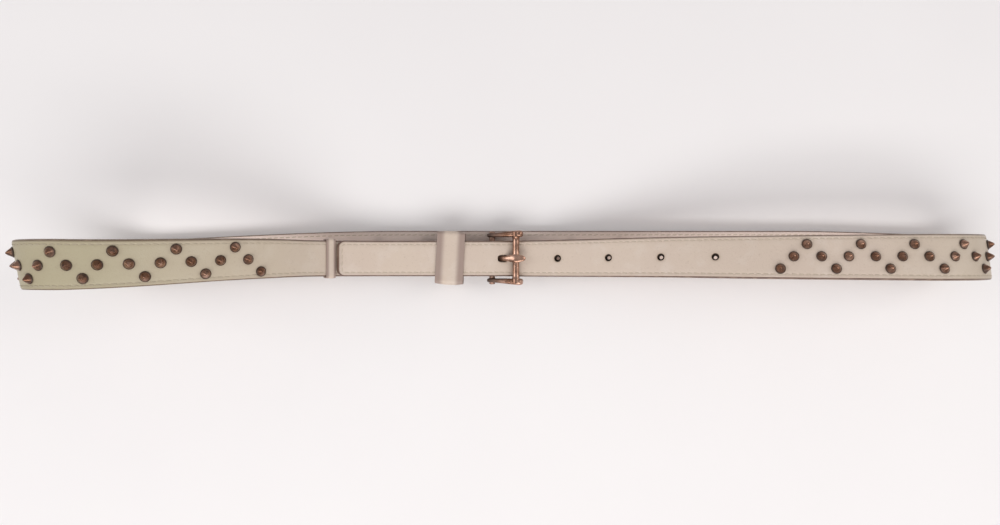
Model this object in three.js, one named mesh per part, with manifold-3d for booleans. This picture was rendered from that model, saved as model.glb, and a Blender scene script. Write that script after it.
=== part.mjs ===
// A narrow studded leather waist belt, buckled and lying as a flattened loop.
// Millimetres, +Z up, +X along the loop, with the buckle near the middle of the upper run.
// The strap is a sandwich of face leather, filler and lining that follows one route: it starts at
// the turned-back flap, folds round the pivot bar, runs left, round the left bulb, back along the
// lower run, round the right bulb, under the buckle's outer bar and ends at the free tip.
import * as THREE from "three";
import { mergeVertices } from "three/addons/utils/BufferGeometryUtils.js";
import Module from "manifold-3d";

const wasm = await Module();
wasm.setup();

// Strap sandwich, each layer measured inwards from the outer face.
const faceThickness = 1.2;
const fillerThickness = 0.6;
const liningThickness = 0.85;
const glueGap = 0.05;
const tapeThickness = 0.3;
const tapeGap = 0.1;
const tapeMargin = 1.2; // of the tape beyond the outer rows of studs
const strapWidth = 21.2;
const endWidth = 17;
const dipExtra = 0.4; // how much wider the strap is under the outer bar

// How the loop lies: how far and how high its two ends reach, and where the upper run starts to rise.
const leftReach = 215;
const rightReach = 239;
const leftHeight = 76;
const rightHeight = 47;

// Curves of the two bulbs: insets from each bulb's end, shares of its height, and lengths of the
// handles that shape the curves.
const leftBulb = {
  topInset: 27,
  endShare: 0.66,
  slopeHandle: 28,
  topHandle: 40,
  shoulderHandle: 15,
  endHandle: 17,
  underShare: 0.31,
  underInset: 18,
  bottomInset: 43,
};
const rightBulb = {
  bottomInset: 27,
  bottomHandle: 16,
  underShare: 0.22,
  endShare: 0.43,
  endHandle: 12,
  shoulderInset: 17,
  topInset: 39,
  plateau: 40,
  plateauHandle: 22,
  footInset: 143,
  footShare: 0.64,
  footHandle: [21, 7.2],
};
const slopeToDip = { start: 0.41, steepness: 0.34, end: 0.2 };
const flapHandle = 3; // of the flap's bend up to the fold
const riseX = -56;
const riseRadius = 52;
const riseAngle = THREE.MathUtils.degToRad(46);
const restGap = 0.3; // between parts that lie on each other

// Studs.
const studHeight = 3;
const studRadius = 2.4;
const studRimHeight = 0.55;
const studTipRadius = 0.3;
const studShankRadius = 0.9;
const studHoleClearance = 0.12;
const studPitch = 6.25;
const studRowOffset = 5.8;
const studSeatGap = 0.2;
const leftStudInset = 104.5; // from the left end to the first stud, and likewise on the right
const rightStudInset = 109.5;

// Buckle.
const pivotX = -4;
const pinRadius = 1.5;
const pinClearance = 0.25; // between the pin and the leather folded round it
const barX = 8;
const barRadius = 1.7;
const barLift = 4.6; // height of the outer bar above the pivot
const armSideGap = 1.75; // between the strap's edge and each arm
const armWidth = 3.2;
const earRadius = 2.9;
const armEndRadius = 2.1;
const armOvershoot = 1.5; // of the arms' ends past the outer bar
const boreClearance = 0.1;
const buckleY = 2.4;
const barInset = 0.5; // of the outer bar's and the pin's ends in the arms
const pinInset = 0.2;

// Prong.
const prongWidth = 2.6;
const prongThickness = 1.9;
const prongOverhang = 4.8; // how far the tip passes the outer bar
const prongBoreClearance = 0.15;
const prongSideClearance = 0.5;
const prongSlotClearance = 0.35;
const prongSwing = THREE.MathUtils.degToRad(10); // room for the buckle's and the prong's own swing
const prongOffset = -0.4; // of the prong's middle from the buckle's, where the strap's holes lie
const prongBarGap = 0.15; // between the prong and the outer bar at rest
const prongEyeGap = 0.15; // between the prong's eye and the leather folded round it
const prongTipDrop = 0.35;
const prongCrown = 0.05; // rise of the prong's middle line over the bar
const prongRoot = [1.7, 0.7]; // where the stem leaves its eye, from the pivot
const prongMiddle = [4.5, 3.1];
const prongBend = [3.8, 1.9]; // where the stem levels out, before and below its place on the bar
const prongTaper = 0.45; // share of its thickness that the prong loses towards its tip
const prongSlotShare = 0.62; // share of the prong's line that the strap's slot follows
const flapSlotEnds = [1.2, 0.5]; // how far the slot of the fold runs past the bend, and its margin
const dipRadius = 6; // bend of the strap under the outer bar

// Punched holes.
const holePitch = 25.4;
const holeCount = 4;
const firstHoleX = 28.8;
const holeRadius = 1.75;

// Flap, tip, keeper, collar and rivets.
const flapEnd = -42;
const flapFlatEnd = -12;
const layersStart = -9.6;
const tipGap = 0.8; // between the tip's end and the collar
const tipCornerRadius = 3;
const keeperX = -25;
const keeperLength = 11.5;
const keeperWall = 1;
const keeperSideGap = 4; // between the strap's edge and the keeper's wall
const keeperHeadroom = 0.5;
const keeperCornerRadius = 2.2;
const keeperSkew = THREE.MathUtils.degToRad(-3);
const keeperShift = 0.3; // sideways, on the strap
const stapleLength = 7;
const stapleWidth = 1.4;
const stapleThickness = 0.45;
const stapleClearance = 0.06;
const collarX = -83.7;
const collarLength = 4.8;
const collarWall = 0.9;
const collarSideGap = 0.5;
const rivetX = -16.5;
const rivetSpacing = 9;
const rivetShankRadius = 1;
const rivetHeadRadius = 2;
const rivetHeadHeight = 0.5;
const rivetClearance = 0.12;
const rivetSink = 0.1; // of both heads below the leather's faces

// Lateral places of the strap's centre line, and how far the strap rolls on its long axis.
const nearRunY = 2;
const leftBulbY = -1.2;
const farRunY = 5.2;
const rightBulbY = 2.8;
const leftRoll = THREE.MathUtils.degToRad(11);
const rightRoll = THREE.MathUtils.degToRad(-13);

// Widths, depths and heights that follow from the values above.
const dipWidth = endWidth + dipExtra;
const tapeWidth = 2 * (studRowOffset + tapeMargin);
const frameWidth = dipWidth + 2 * (armSideGap + armWidth);
const keeperInnerWidth = endWidth + 2 * keeperSideGap;
const tapeDepth = faceThickness + tapeGap;
const fillerDepth = tapeDepth + tapeThickness + tapeGap;
const liningDepth = fillerDepth + fillerThickness + glueGap;
const strapThickness = liningDepth + liningThickness;
const farFaceZ = studHeight;
const farInnerZ = farFaceZ + strapThickness;
const foldRadius = pinRadius + pinClearance + faceThickness;
const keeperBottomZ = farInnerZ + restGap;
const flapFaceZ = keeperBottomZ + keeperWall + restGap;
const fixedFaceZ = flapFaceZ + faceThickness + restGap + strapThickness;
const pivotZ = fixedFaceZ - foldRadius;
const tipFaceZ = fixedFaceZ + restGap + strapThickness;
const barZ = pivotZ + barLift;
const dipZ = barZ - barRadius - restGap;
const overRadius = foldRadius + restGap + strapThickness;
const riseCentreZ = fixedFaceZ + riseRadius;
const tipRiseRadius = riseCentreZ - tipFaceZ;

const leather = (color) => new THREE.MeshStandardMaterial({ color, roughness: 0.6, metalness: 0 });
const metal = (color) => new THREE.MeshStandardMaterial({ color, roughness: 0.3, metalness: 1 });
const creamLeather = leather("#d6cdb6");
const liningLeather = leather("#cbb9ac");
const fillerBoard = leather("#a58a6c");
const copper = metal("#9a6248");
const steel = metal("#a9a5a0");

const belt = new THREE.Group();

function addPiece(name, geometry, material) {
  const mesh = new THREE.Mesh(geometry, material);
  mesh.name = name;
  belt.add(mesh);
}

// A geometry whose seams share their vertices, made before it is placed.
function seal(geometry) {
  for (const name of ["normal", "uv"]) geometry.deleteAttribute(name);
  return mergeVertices(geometry, 1e-4);
}

// A sealed geometry as a solid that can be joined and cut.
function toSolid(geometry) {
  const mesh = new wasm.Mesh({
    numProp: 3,
    vertProperties: geometry.attributes.position.array,
    triVerts: new Uint32Array(geometry.index.array),
  });
  return new wasm.Manifold(mesh);
}

function toGeometry(solid) {
  const mesh = solid.getMesh();
  const geometry = new THREE.BufferGeometry();
  geometry.setAttribute("position", new THREE.BufferAttribute(mesh.vertProperties, mesh.numProp));
  geometry.setIndex(new THREE.BufferAttribute(mesh.triVerts, 1));
  return geometry;
}

const cutAll = (solid, cutters) => cutters.reduce((left, cutter) => left.subtract(cutter), solid);

// The side view of the outer face, from the flap's end to the tip, as straight lines, arcs and curves.
// Each named stretch keeps its last curve, so that places along the strap can be told from it.
const stretches = {};

function makeRoute() {
  const route = new THREE.Path();
  const endStretch = (name) => (stretches[name] = route.curves[route.curves.length - 1]);

  // Flap, fold round the pivot bar and fixed end, which then bends upwards.
  const foldBottomZ = pivotZ - foldRadius;
  route.moveTo(flapEnd, flapFaceZ);
  route.lineTo(flapFlatEnd, flapFaceZ);
  const foldStart = { x: flapFlatEnd + flapHandle, z: flapFaceZ };
  route.bezierCurveTo(foldStart.x, foldStart.z, pivotX - flapHandle, foldBottomZ, pivotX, foldBottomZ);
  route.absarc(pivotX, pivotZ, foldRadius, -Math.PI / 2, Math.PI / 2, false);
  endStretch("fold");
  route.lineTo(riseX, fixedFaceZ);
  route.absarc(riseX, riseCentreZ, riseRadius, -Math.PI / 2, -Math.PI / 2 - riseAngle, true);
  endStretch("rise");

  // Left bulb: up a slope, over the top, round the end and down to the lower run.
  const left = -leftReach;
  const { slopeHandle, topHandle, shoulderHandle, endHandle } = leftBulb;
  const rise = route.currentPoint.clone();
  const top = { x: left + leftBulb.topInset, z: leftHeight };
  const endZ = leftBulb.endShare * leftHeight;
  const underZ = leftBulb.underShare * leftHeight;
  const up = { x: slopeHandle * Math.cos(riseAngle), z: slopeHandle * Math.sin(riseAngle) };
  const bottomX = left + leftBulb.bottomInset;
  route.bezierCurveTo(rise.x - up.x, rise.y + up.z, top.x + topHandle, top.z, top.x, top.z);
  endStretch("leftSlope");
  route.bezierCurveTo(top.x - shoulderHandle, top.z, left, endZ + endHandle, left, endZ);
  endStretch("leftTop");
  route.bezierCurveTo(left, underZ, left + leftBulb.underInset, farFaceZ, bottomX, farFaceZ);
  endStretch("leftBottom");

  // Lower run and right bulb, which is lower and has a flat top.
  const right = rightReach;
  const { bottomInset, bottomHandle, topInset, plateau, plateauHandle, footHandle } = rightBulb;
  const sideZ = rightBulb.endShare * rightHeight;
  const sideUnderZ = rightBulb.underShare * rightHeight;
  const shoulderX = right - rightBulb.shoulderInset;
  const plateauX = right - topInset - plateau;
  const foot = {
    x: right - rightBulb.footInset,
    z: tipFaceZ + rightBulb.footShare * (rightHeight - tipFaceZ),
  };
  const footAbove = { x: foot.x + footHandle[0], z: foot.z + footHandle[1] };
  route.lineTo(right - bottomInset, farFaceZ);
  endStretch("lowerRun");
  route.bezierCurveTo(right - bottomInset + bottomHandle, farFaceZ, right, sideUnderZ, right, sideZ);
  endStretch("rightBottom");
  const sideAboveZ = sideZ + rightBulb.endHandle;
  route.bezierCurveTo(right, sideAboveZ, shoulderX, rightHeight, right - topInset, rightHeight);
  endStretch("rightTop");
  route.lineTo(plateauX, rightHeight);
  route.bezierCurveTo(plateauX - plateauHandle, rightHeight, footAbove.x, footAbove.z, foot.x, foot.z);
  endStretch("rightShoulder");

  // Down under the outer bar, up a line that touches both bends, and over the fixed end to the tip.
  const dip = { x: barX, z: dipZ + dipRadius };
  const apart = Math.hypot(dip.x - pivotX, dip.z - pivotZ);
  const climb = Math.asin((overRadius + dipRadius) / apart) - Math.atan2(dip.z - pivotZ, dip.x - pivotX);
  const overEnd = Math.PI / 2 - climb;
  const slopeRun = slopeToDip.start * (foot.x - barX);
  const slopeDrop = slopeToDip.steepness * slopeRun;
  const dipRun = slopeToDip.end * (foot.x - barX);
  route.bezierCurveTo(foot.x - slopeRun, foot.z - slopeDrop, barX + dipRun, dipZ, barX, dipZ);
  endStretch("rightSlope");
  route.absarc(dip.x, dip.z, dipRadius, -Math.PI / 2, -Math.PI / 2 - climb, true);
  route.lineTo(pivotX + overRadius * Math.cos(overEnd), pivotZ + overRadius * Math.sin(overEnd));
  route.absarc(pivotX, pivotZ, overRadius, overEnd, Math.PI / 2, false);
  route.lineTo(riseX, tipFaceZ);
  const collarAngle = Math.asin((riseX - collarX) / riseRadius);
  const tipAngle = collarAngle - (collarLength / 2 + tipGap) / riseRadius;
  route.absarc(riseX, riseCentreZ, tipRiseRadius, -Math.PI / 2, -Math.PI / 2 - tipAngle, true);
  route.curves = route.curves.filter((curve) => curve.getLength() > 1e-3);
  return route;
}

const route = makeRoute();
const lengths = route.getCurveLengths();
const routeLength = lengths[lengths.length - 1];
const endOf = (name) => lengths[route.curves.indexOf(stretches[name])];

// Steps along each stretch of the route: straight ones need few, and bent ones keep close to the curve.
const arcDeviation = 0.06;
const curveStepTurn = THREE.MathUtils.degToRad(8);
const curveStepLength = 12;
function stretchSteps(curve) {
  const length = curve.getLength();
  if (curve.isLineCurve) return Math.max(1, Math.round(length / 16));
  if (curve.isEllipseCurve) {
    const chordAngle = 2 * Math.acos(1 - arcDeviation / curve.xRadius);
    return Math.ceil(length / curve.xRadius / chordAngle);
  }
  const ways = Array.from({ length: 33 }, (_, i) => curve.getTangent(i / 32));
  const turned = ways.slice(1).reduce((sum, way, i) => sum + Math.abs(way.angleTo(ways[i])), 0);
  return Math.ceil(Math.max(length / curveStepLength, turned / curveStepTurn));
}

function atDistance(distance) {
  const clamped = Math.min(Math.max(distance, 0), routeLength);
  const index = Math.max(0, lengths.findIndex((length) => length >= clamped - 1e-9));
  const curve = route.curves[index];
  const before = index ? lengths[index - 1] : 0;
  const share = THREE.MathUtils.clamp((clamped - before) / curve.getLength(), 0, 1);
  return { point: curve.getPointAt(share), tangent: curve.getTangentAt(share) };
}

// A value between [distance, value] marks, in smooth steps or along straight lines.
function between(marks, distance, step = THREE.MathUtils.smoothstep) {
  if (distance <= marks[0][0]) return marks[0][1];
  for (let i = 1; i < marks.length; i++) {
    const [end, value] = marks[i];
    const [start, before] = marks[i - 1];
    if (distance <= end) return before + (value - before) * step(distance, start, end);
  }
  return marks[marks.length - 1][1];
}

const straightStep = (distance, start, end) => (distance - start) / (end - start);

const lateralMarks = [
  [endOf("rise"), nearRunY],
  [endOf("leftSlope"), leftBulbY],
  [endOf("leftTop"), leftBulbY],
  [endOf("leftBottom") + 120, farRunY],
  [endOf("lowerRun") - 60, farRunY],
  [endOf("rightBottom"), rightBulbY],
  [endOf("rightShoulder"), rightBulbY],
  [endOf("rightSlope"), nearRunY],
];
const rollMarks = [
  [endOf("rise"), 0],
  [endOf("rise") + 50, leftRoll],
  [endOf("leftSlope"), leftRoll],
  [endOf("leftBottom"), 0],
  [endOf("lowerRun"), 0],
  [endOf("rightTop"), rightRoll],
  [endOf("rightShoulder") - 40, rightRoll],
  [endOf("rightSlope") - 20, 0],
];
const widthMarks = [
  [endOf("rise"), endWidth / 2],
  [endOf("leftSlope"), strapWidth / 2],
  [endOf("rightTop"), strapWidth / 2],
  [endOf("rightSlope"), dipWidth / 2],
  [endOf("rightSlope") + dipRadius, endWidth / 2],
];

// The frame of the strap at one distance: a point on the outer face, the way across and the way out.
function strapFrame(distance) {
  const { point, tangent } = atDistance(distance);
  const roll = between(rollMarks, distance);
  const out = new THREE.Vector3(tangent.y, 0, -tangent.x);
  const across = new THREE.Vector3(0, 1, 0);
  const rolledAcross = across.clone().multiplyScalar(Math.cos(roll)).addScaledVector(out, Math.sin(roll));
  const rolledOut = out.clone().multiplyScalar(Math.cos(roll)).addScaledVector(across, -Math.sin(roll));
  const origin = new THREE.Vector3(point.x, between(lateralMarks, distance), point.y);
  return { origin, across: rolledAcross, out: rolledOut, distance };
}

const placeOn = (frame, lateral, depth) =>
  frame.origin.clone().addScaledVector(frame.across, lateral).addScaledVector(frame.out, -depth);

// Half width at a distance: the marks' value, drawn in round the tip's corners.
function halfWidthAt(distance) {
  const half = between(widthMarks, distance, straightStep);
  const left = routeLength - distance;
  if (left >= tipCornerRadius) return half;
  const reach = tipCornerRadius - left;
  return half - tipCornerRadius + Math.sqrt(Math.max(0, tipCornerRadius ** 2 - reach ** 2));
}

function routeStations() {
  const found = [];
  route.curves.forEach((curve, i) => {
    const start = i ? lengths[i - 1] : 0;
    const steps = stretchSteps(curve);
    for (let k = 0; k < steps; k++) found.push(start + (curve.getLength() * k) / steps);
  });
  found.push(...[1, 0.55, 0.2, 0].map((share) => routeLength - tipCornerRadius * share));
  return found;
}

const stations = routeStations();

// One layer of the strap between two distances and two depths, as a closed band.
function makeBand(from, to, depth, thickness, width) {
  const inside = stations.filter((distance) => distance > from + 0.5 && distance < to - 0.5);
  const cornerSteps = stations.filter((distance) => distance > to - 0.5 && distance < to);
  const places = [from, ...inside, ...cornerSteps, to];
  const positions = [];
  for (const distance of places) {
    const frame = strapFrame(distance);
    const half = width ? width / 2 : halfWidthAt(distance);
    const inner = depth + thickness;
    const section = [[half, depth], [-half, depth], [-half, inner], [half, inner]];
    for (const [side, level] of section) positions.push(...placeOn(frame, side, level).toArray());
  }
  const index = [];
  const quad = (a, b, c, d) => index.push(a, b, c, a, c, d);
  for (let i = 0; i + 1 < places.length; i++)
    for (let k = 0; k < 4; k++) {
      const corners = [4 * i + k, 4 * (i + 1) + k, 4 * (i + 1) + ((k + 1) % 4), 4 * i + ((k + 1) % 4)];
      // Both faces of a band split along the same diagonal, so that layers stay parallel where it twists.
      if (k === 2) corners.push(corners.shift());
      quad(...corners);
    }
  const last = 4 * (places.length - 1);
  quad(0, 1, 2, 3);
  quad(last + 3, last + 2, last + 1, last);
  const geometry = new THREE.BufferGeometry();
  geometry.setAttribute("position", new THREE.Float32BufferAttribute(positions, 3));
  geometry.setIndex(index);
  return geometry;
}

// A turned shape given by [radius, height] points, standing on the strap or along Z.
function makeTurned(profile, sides) {
  const points = profile.map(([radius, height]) => new THREE.Vector2(radius, height));
  return seal(new THREE.LatheGeometry(points, sides)).rotateX(Math.PI / 2);
}

function standOn(geometry, frame, lateral) {
  const along = new THREE.Vector3().crossVectors(frame.across, frame.out);
  const turn = new THREE.Matrix4().makeBasis(along, frame.across, frame.out);
  return geometry.applyMatrix4(turn.setPosition(placeOn(frame, lateral, 0)));
}

function box(x0, x1, y0, y1, z0, z1) {
  const solid = seal(new THREE.BoxGeometry(x1 - x0, y1 - y0, z1 - z0));
  return solid.translate((x0 + x1) / 2, (y0 + y1) / 2, (z0 + z1) / 2);
}

// An outline in the side view, given in X and Z, as a slab across Y between two places.
function makeSlab(shape, from, to) {
  const flat = new THREE.ExtrudeGeometry(shape, { depth: to - from, bevelEnabled: false, curveSegments: 6 });
  return seal(flat).rotateX(Math.PI / 2).translate(0, to, 0);
}

const rod = (radius, from, to, x, z, sides = 16) =>
  seal(new THREE.CylinderGeometry(radius, radius, to - from, sides)).translate(x, (from + to) / 2, z);

// The distance at which the route passes an X, searched between two distances.
function distanceAtX(x, from, to) {
  let [low, high] = [from, to];
  const rising = atDistance(to).point.x > atDistance(from).point.x;
  for (let i = 0; i < 40; i++) {
    const middle = (low + high) / 2;
    if (atDistance(middle).point.x < x === rising) low = middle;
    else high = middle;
  }
  return (low + high) / 2;
}

const lefthandStart = distanceAtX(leftStudInset - leftReach, endOf("rise"), endOf("leftSlope"));
const righthandEnd = distanceAtX(rightReach - rightStudInset, endOf("rightTop"), endOf("rightSlope"));

// Studs run in a zigzag of four, from the lower row at one end to the lower row at the other.
function studPlaces() {
  const span = righthandEnd - lefthandStart;
  const steps = 4 * Math.round(span / (4 * studPitch));
  const rows = [-studRowOffset, 0, studRowOffset, 0];
  return Array.from({ length: steps + 1 }, (_, i) => ({
    distance: lefthandStart + (span * i) / steps,
    lateral: rows[i % 4],
  }));
}

const studs = studPlaces();
const leftExtreme = endOf("leftTop") + studPitch;
const rightExtreme = endOf("rightBottom") - studPitch;
const leftStuds = studs.filter(({ distance }) => distance < leftExtreme);
const rightStuds = studs.filter(({ distance }) => distance > rightExtreme).reverse();
const lowerStuds = studs.filter(({ distance }) => distance >= leftExtreme && distance <= rightExtreme);

function makeStud(shankEnd, sides, shankSides, rimHeight) {
  const shankTop = studSeatGap + 0.3; // inside the cone
  const cone = [
    [0, studSeatGap],
    [studRadius, studSeatGap],
    ...(rimHeight ? [[studRadius, rimHeight]] : []),
    [studTipRadius, studHeight],
    [0, studHeight],
  ];
  const shank = [
    [0, -shankEnd],
    [studShankRadius, -shankEnd],
    [studShankRadius, shankTop],
    [0, shankTop],
  ];
  return toGeometry(toSolid(makeTurned(cone, sides)).add(toSolid(makeTurned(shank, shankSides))));
}

function studHole({ distance, lateral }) {
  const reach = [-(tapeDepth + tapeThickness + tapeGap / 2), 0.5];
  const radius = studShankRadius + studHoleClearance * Math.SQRT2;
  const profile = [[0, reach[0]], [radius, reach[0]], [radius, reach[1]], [0, reach[1]]];
  return toSolid(standOn(makeTurned(profile, 4), strapFrame(distance), lateral));
}

// Cutters that open the strap for the prong, the punched holes and the rivets.
const prongFrom = buckleY + prongOffset - prongWidth / 2;
const prongTo = prongFrom + prongWidth;

function prongLine() {
  const overBarZ = barZ + barRadius + prongBarGap + prongThickness / 2;
  const tip = { x: barX + prongOverhang, z: overBarZ - prongTipDrop };
  const marks = [
    [pivotX + prongRoot[0], pivotZ + prongRoot[1]],
    [pivotX + prongMiddle[0], pivotZ + prongMiddle[1]],
    [barX - prongBend[0], overBarZ - prongBend[1]],
    [barX, overBarZ + prongCrown],
    [tip.x, tip.z],
  ];
  return new THREE.CatmullRomCurve3(marks.map(([x, z]) => new THREE.Vector3(x, 0, z)));
}

// The prong's side outline, widened by a margin behind it and ahead of it.
function prongOutline(behind, ahead, shareEnd, taper) {
  const line = prongLine();
  const steps = 10;
  const upper = [];
  const lower = [];
  for (let i = 0; i <= steps; i++) {
    const share = (shareEnd * i) / steps;
    const at = line.getPointAt(share);
    const way = line.getTangentAt(share);
    const half = (prongThickness / 2) * (1 - taper * share ** 3);
    upper.push(new THREE.Vector2(at.x - way.z * (half + behind), at.z + way.x * (half + behind)));
    lower.push(new THREE.Vector2(at.x + way.z * (half + ahead), at.z - way.x * (half + ahead)));
  }
  return new THREE.Shape([...lower, ...upper.reverse()]);
}

function makeProng() {
  const stem = toSolid(makeSlab(prongOutline(0, 0, 1, prongTaper), prongFrom, prongTo));
  const eyeRadius = foldRadius - prongEyeGap;
  const eye = toSolid(rod(eyeRadius, prongFrom, prongTo, pivotX, pivotZ));
  const bore = toSolid(rod(pinRadius + prongBoreClearance, prongFrom - 1, prongTo + 1, pivotX, pivotZ));
  return stem.add(eye).subtract(bore);
}

function prongSlot() {
  const swing = prongSlotClearance + prongSwing * (overRadius + 1);
  const outline = prongOutline(swing, prongSlotClearance, prongSlotShare, 0);
  const from = prongFrom - prongSideClearance;
  const to = prongTo + prongSideClearance;
  const tongueFrom = pivotX - foldRadius - flapSlotEnds[0];
  const tongueTo = pivotX + foldRadius + flapSlotEnds[1];
  const bottom = farInnerZ + restGap / 2;
  const tongue = box(tongueFrom, tongueTo, from, to, bottom, fixedFaceZ + restGap / 2);
  return [toSolid(makeSlab(outline, from, to)), toSolid(tongue)];
}

function punchedHoles() {
  const cutters = [];
  const firstHole = distanceAtX(firstHoleX, endOf("rightTop"), endOf("rightSlope"));
  for (let i = 0; i < holeCount; i++) {
    const distance = firstHole - i * holePitch;
    const profile = [[0, -2 * strapThickness], [holeRadius, -2 * strapThickness], [holeRadius, 2], [0, 2]];
    cutters.push(toSolid(standOn(makeTurned(profile, 12), strapFrame(distance), 0)));
  }
  return cutters;
}

// A rivet with sunk heads that holds the flap to the fixed end, grown by a clearance for its hole.
function rivetShape(grow, y) {
  const low = flapFaceZ + rivetSink - grow;
  const high = fixedFaceZ - rivetSink + grow;
  const head = rivetHeadHeight + grow * 2;
  const profile = [
    [0, low],
    [rivetHeadRadius + grow, low],
    [rivetHeadRadius + grow, low + head],
    [rivetShankRadius + grow, low + head],
    [rivetShankRadius + grow, high - head],
    [rivetHeadRadius + grow, high - head],
    [rivetHeadRadius + grow, high],
    [0, high],
  ];
  return makeTurned(profile, 12).translate(rivetX, y, 0);
}

const rivetPlaces = [nearRunY - rivetSpacing / 2, nearRunY + rivetSpacing / 2];

// Strap layers.
const slotCutters = prongSlot();
const throughCutters = [
  slotCutters[0],
  ...punchedHoles(),
  ...rivetPlaces.map((y) => toSolid(rivetShape(rivetClearance, y))),
];
const layersFrom = distanceAtX(layersStart, endOf("fold"), endOf("rise"));

function makeLayer(from, depth, thickness, cutters) {
  return toGeometry(cutAll(toSolid(makeBand(from, routeLength, depth, thickness)), cutters));
}

const faceCutters = [...throughCutters, slotCutters[1], ...studs.map(studHole)];
addPiece("strap_face_leather", makeLayer(0, 0, faceThickness, faceCutters), creamLeather);
addPiece("strap_filler", makeLayer(layersFrom, fillerDepth, fillerThickness, throughCutters), fillerBoard);
addPiece("strap_lining", makeLayer(layersFrom, liningDepth, liningThickness, throughCutters), liningLeather);

// Studs that can be reached from above, one by one, with their shanks in the face leather.
const looseStud = makeStud(faceThickness, 8, 4, studRimHeight);
const nameStud = (side, i) => `stud_${side}_${String(i + 1).padStart(2, "0")}`;
for (const [side, list] of [["left", leftStuds], ["right", rightStuds]])
  list.forEach(({ distance, lateral }, i) => {
    addPiece(nameStud(side, i), standOn(looseStud.clone(), strapFrame(distance), lateral), copper);
  });

// Studs of the lower run and the undersides of the bulbs, carried by a tape behind the face leather.
const taperEnd = 3;
let carried = toSolid(
  makeBand(
    lowerStuds[0].distance - taperEnd,
    lowerStuds[lowerStuds.length - 1].distance + taperEnd,
    tapeDepth,
    tapeThickness,
    tapeWidth,
  ),
);
const carriedStud = makeStud(tapeDepth + tapeThickness / 2, 6, 4, 0);
for (const { distance, lateral } of lowerStuds)
  carried = carried.add(toSolid(standOn(carriedStud.clone(), strapFrame(distance), lateral)));
addPiece("lower_run_studs", toGeometry(carried), copper);

// Rivets of the fold.
rivetPlaces.forEach((y, i) => addPiece(`fold_rivet_${i + 1}`, rivetShape(0, y), steel));

// Buckle frame: two arms that taper from an ear on the pivot to just past the outer bar.
function armShape() {
  const end = { x: barX + armOvershoot, z: barZ };
  const away = new THREE.Vector2(end.x - pivotX, end.z - pivotZ);
  const lean = away.angle();
  const spread = Math.acos((earRadius - armEndRadius) / away.length());
  const shape = new THREE.Shape();
  shape.absarc(pivotX, pivotZ, earRadius, lean + spread, lean - spread + 2 * Math.PI, false);
  shape.absarc(end.x, end.z, armEndRadius, lean - spread, lean + spread, false);
  return shape;
}

const frameFrom = buckleY - frameWidth / 2;
const frameTo = buckleY + frameWidth / 2;
let frame = toSolid(rod(barRadius, frameFrom + barInset, frameTo - barInset, barX, barZ));
for (const from of [frameFrom, frameTo - armWidth]) {
  frame = frame.add(toSolid(makeSlab(armShape(), from, from + armWidth)));
}
frame = frame.subtract(toSolid(rod(pinRadius + boreClearance, frameFrom - 1, frameTo + 1, pivotX, pivotZ)));
addPiece("buckle_frame", toGeometry(frame), copper);
addPiece("pivot_bar", rod(pinRadius, frameFrom + pinInset, frameTo - pinInset, pivotX, pivotZ), copper);
addPiece("prong", toGeometry(makeProng()), copper);

// A rounded ring in Y and Z, as long as given along X.
function makeRing(inner, wall, length) {
  const ring = (grow, radius) => {
    const shape = new THREE.Shape();
    const [y0, y1] = [inner.y0 - grow, inner.y1 + grow];
    const [z0, z1] = [inner.z0 - grow, inner.z1 + grow];
    shape.moveTo(y0 + radius, z0).lineTo(y1 - radius, z0);
    shape.absarc(y1 - radius, z0 + radius, radius, -Math.PI / 2, 0, false);
    shape.absarc(y1 - radius, z1 - radius, radius, 0, Math.PI / 2, false);
    shape.absarc(y0 + radius, z1 - radius, radius, Math.PI / 2, Math.PI, false);
    shape.absarc(y0 + radius, z0 + radius, radius, Math.PI, 1.5 * Math.PI, false);
    return shape;
  };
  const innerRadius = Math.max(0.3, inner.corner - wall);
  const outline = ring(wall, innerRadius + wall);
  outline.holes.push(ring(0, innerRadius));
  const made = new THREE.ExtrudeGeometry(outline, { depth: length, bevelEnabled: false, curveSegments: 4 });
  return seal(made).rotateX(Math.PI / 2).rotateZ(Math.PI / 2).translate(-length / 2, 0, 0);
}

// Keeper: a loose loop round the flap, the fixed end and the tip, closed by a staple underneath.
const keeperY = nearRunY + keeperShift;
const keeperInner = {
  y0: -keeperInnerWidth / 2,
  y1: keeperInnerWidth / 2,
  z0: keeperBottomZ + keeperWall,
  z1: tipFaceZ + keeperHeadroom,
  corner: keeperCornerRadius,
};
const stapleBox = (grow, top) => {
  const halfWidth = stapleWidth / 2 + grow;
  const halfLength = stapleLength / 2 + grow;
  const bottom = keeperBottomZ - (grow ? keeperWall : 0);
  return box(-halfWidth, halfWidth, -halfLength, halfLength, bottom, top);
};
const stapleTop = keeperBottomZ + stapleThickness;
const keeper = toSolid(makeRing(keeperInner, keeperWall, keeperLength)).subtract(
  toSolid(stapleBox(stapleClearance, stapleTop + stapleClearance)),
);
const setKeeper = (geometry) => geometry.rotateZ(keeperSkew).translate(keeperX, keeperY, 0);
addPiece("keeper_loop", setKeeper(toGeometry(keeper)), creamLeather);
addPiece("keeper_staple", setKeeper(stapleBox(0, stapleTop)), steel);

// Collar: a narrow band sewn round the fixed end just past the tip, in the strap's own frame there.
const collarInner = {
  y0: -endWidth / 2 - collarSideGap,
  y1: endWidth / 2 + collarSideGap,
  z0: -strapThickness - restGap,
  z1: restGap,
  corner: collarWall + 0.5,
};
const collarFrame = strapFrame(distanceAtX(collarX, endOf("fold"), endOf("rise")));
const collarRing = makeRing(collarInner, collarWall, collarLength);
addPiece("strap_collar", standOn(collarRing, collarFrame, 0), creamLeather);

// The origin is the bottom centre of the whole belt, on the surface under the stud tips.
const whole = new THREE.Box3().setFromObject(belt);
const middle = whole.getCenter(new THREE.Vector3());
belt.position.set(-middle.x, -middle.y, -whole.min.z);

export default belt;
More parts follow.
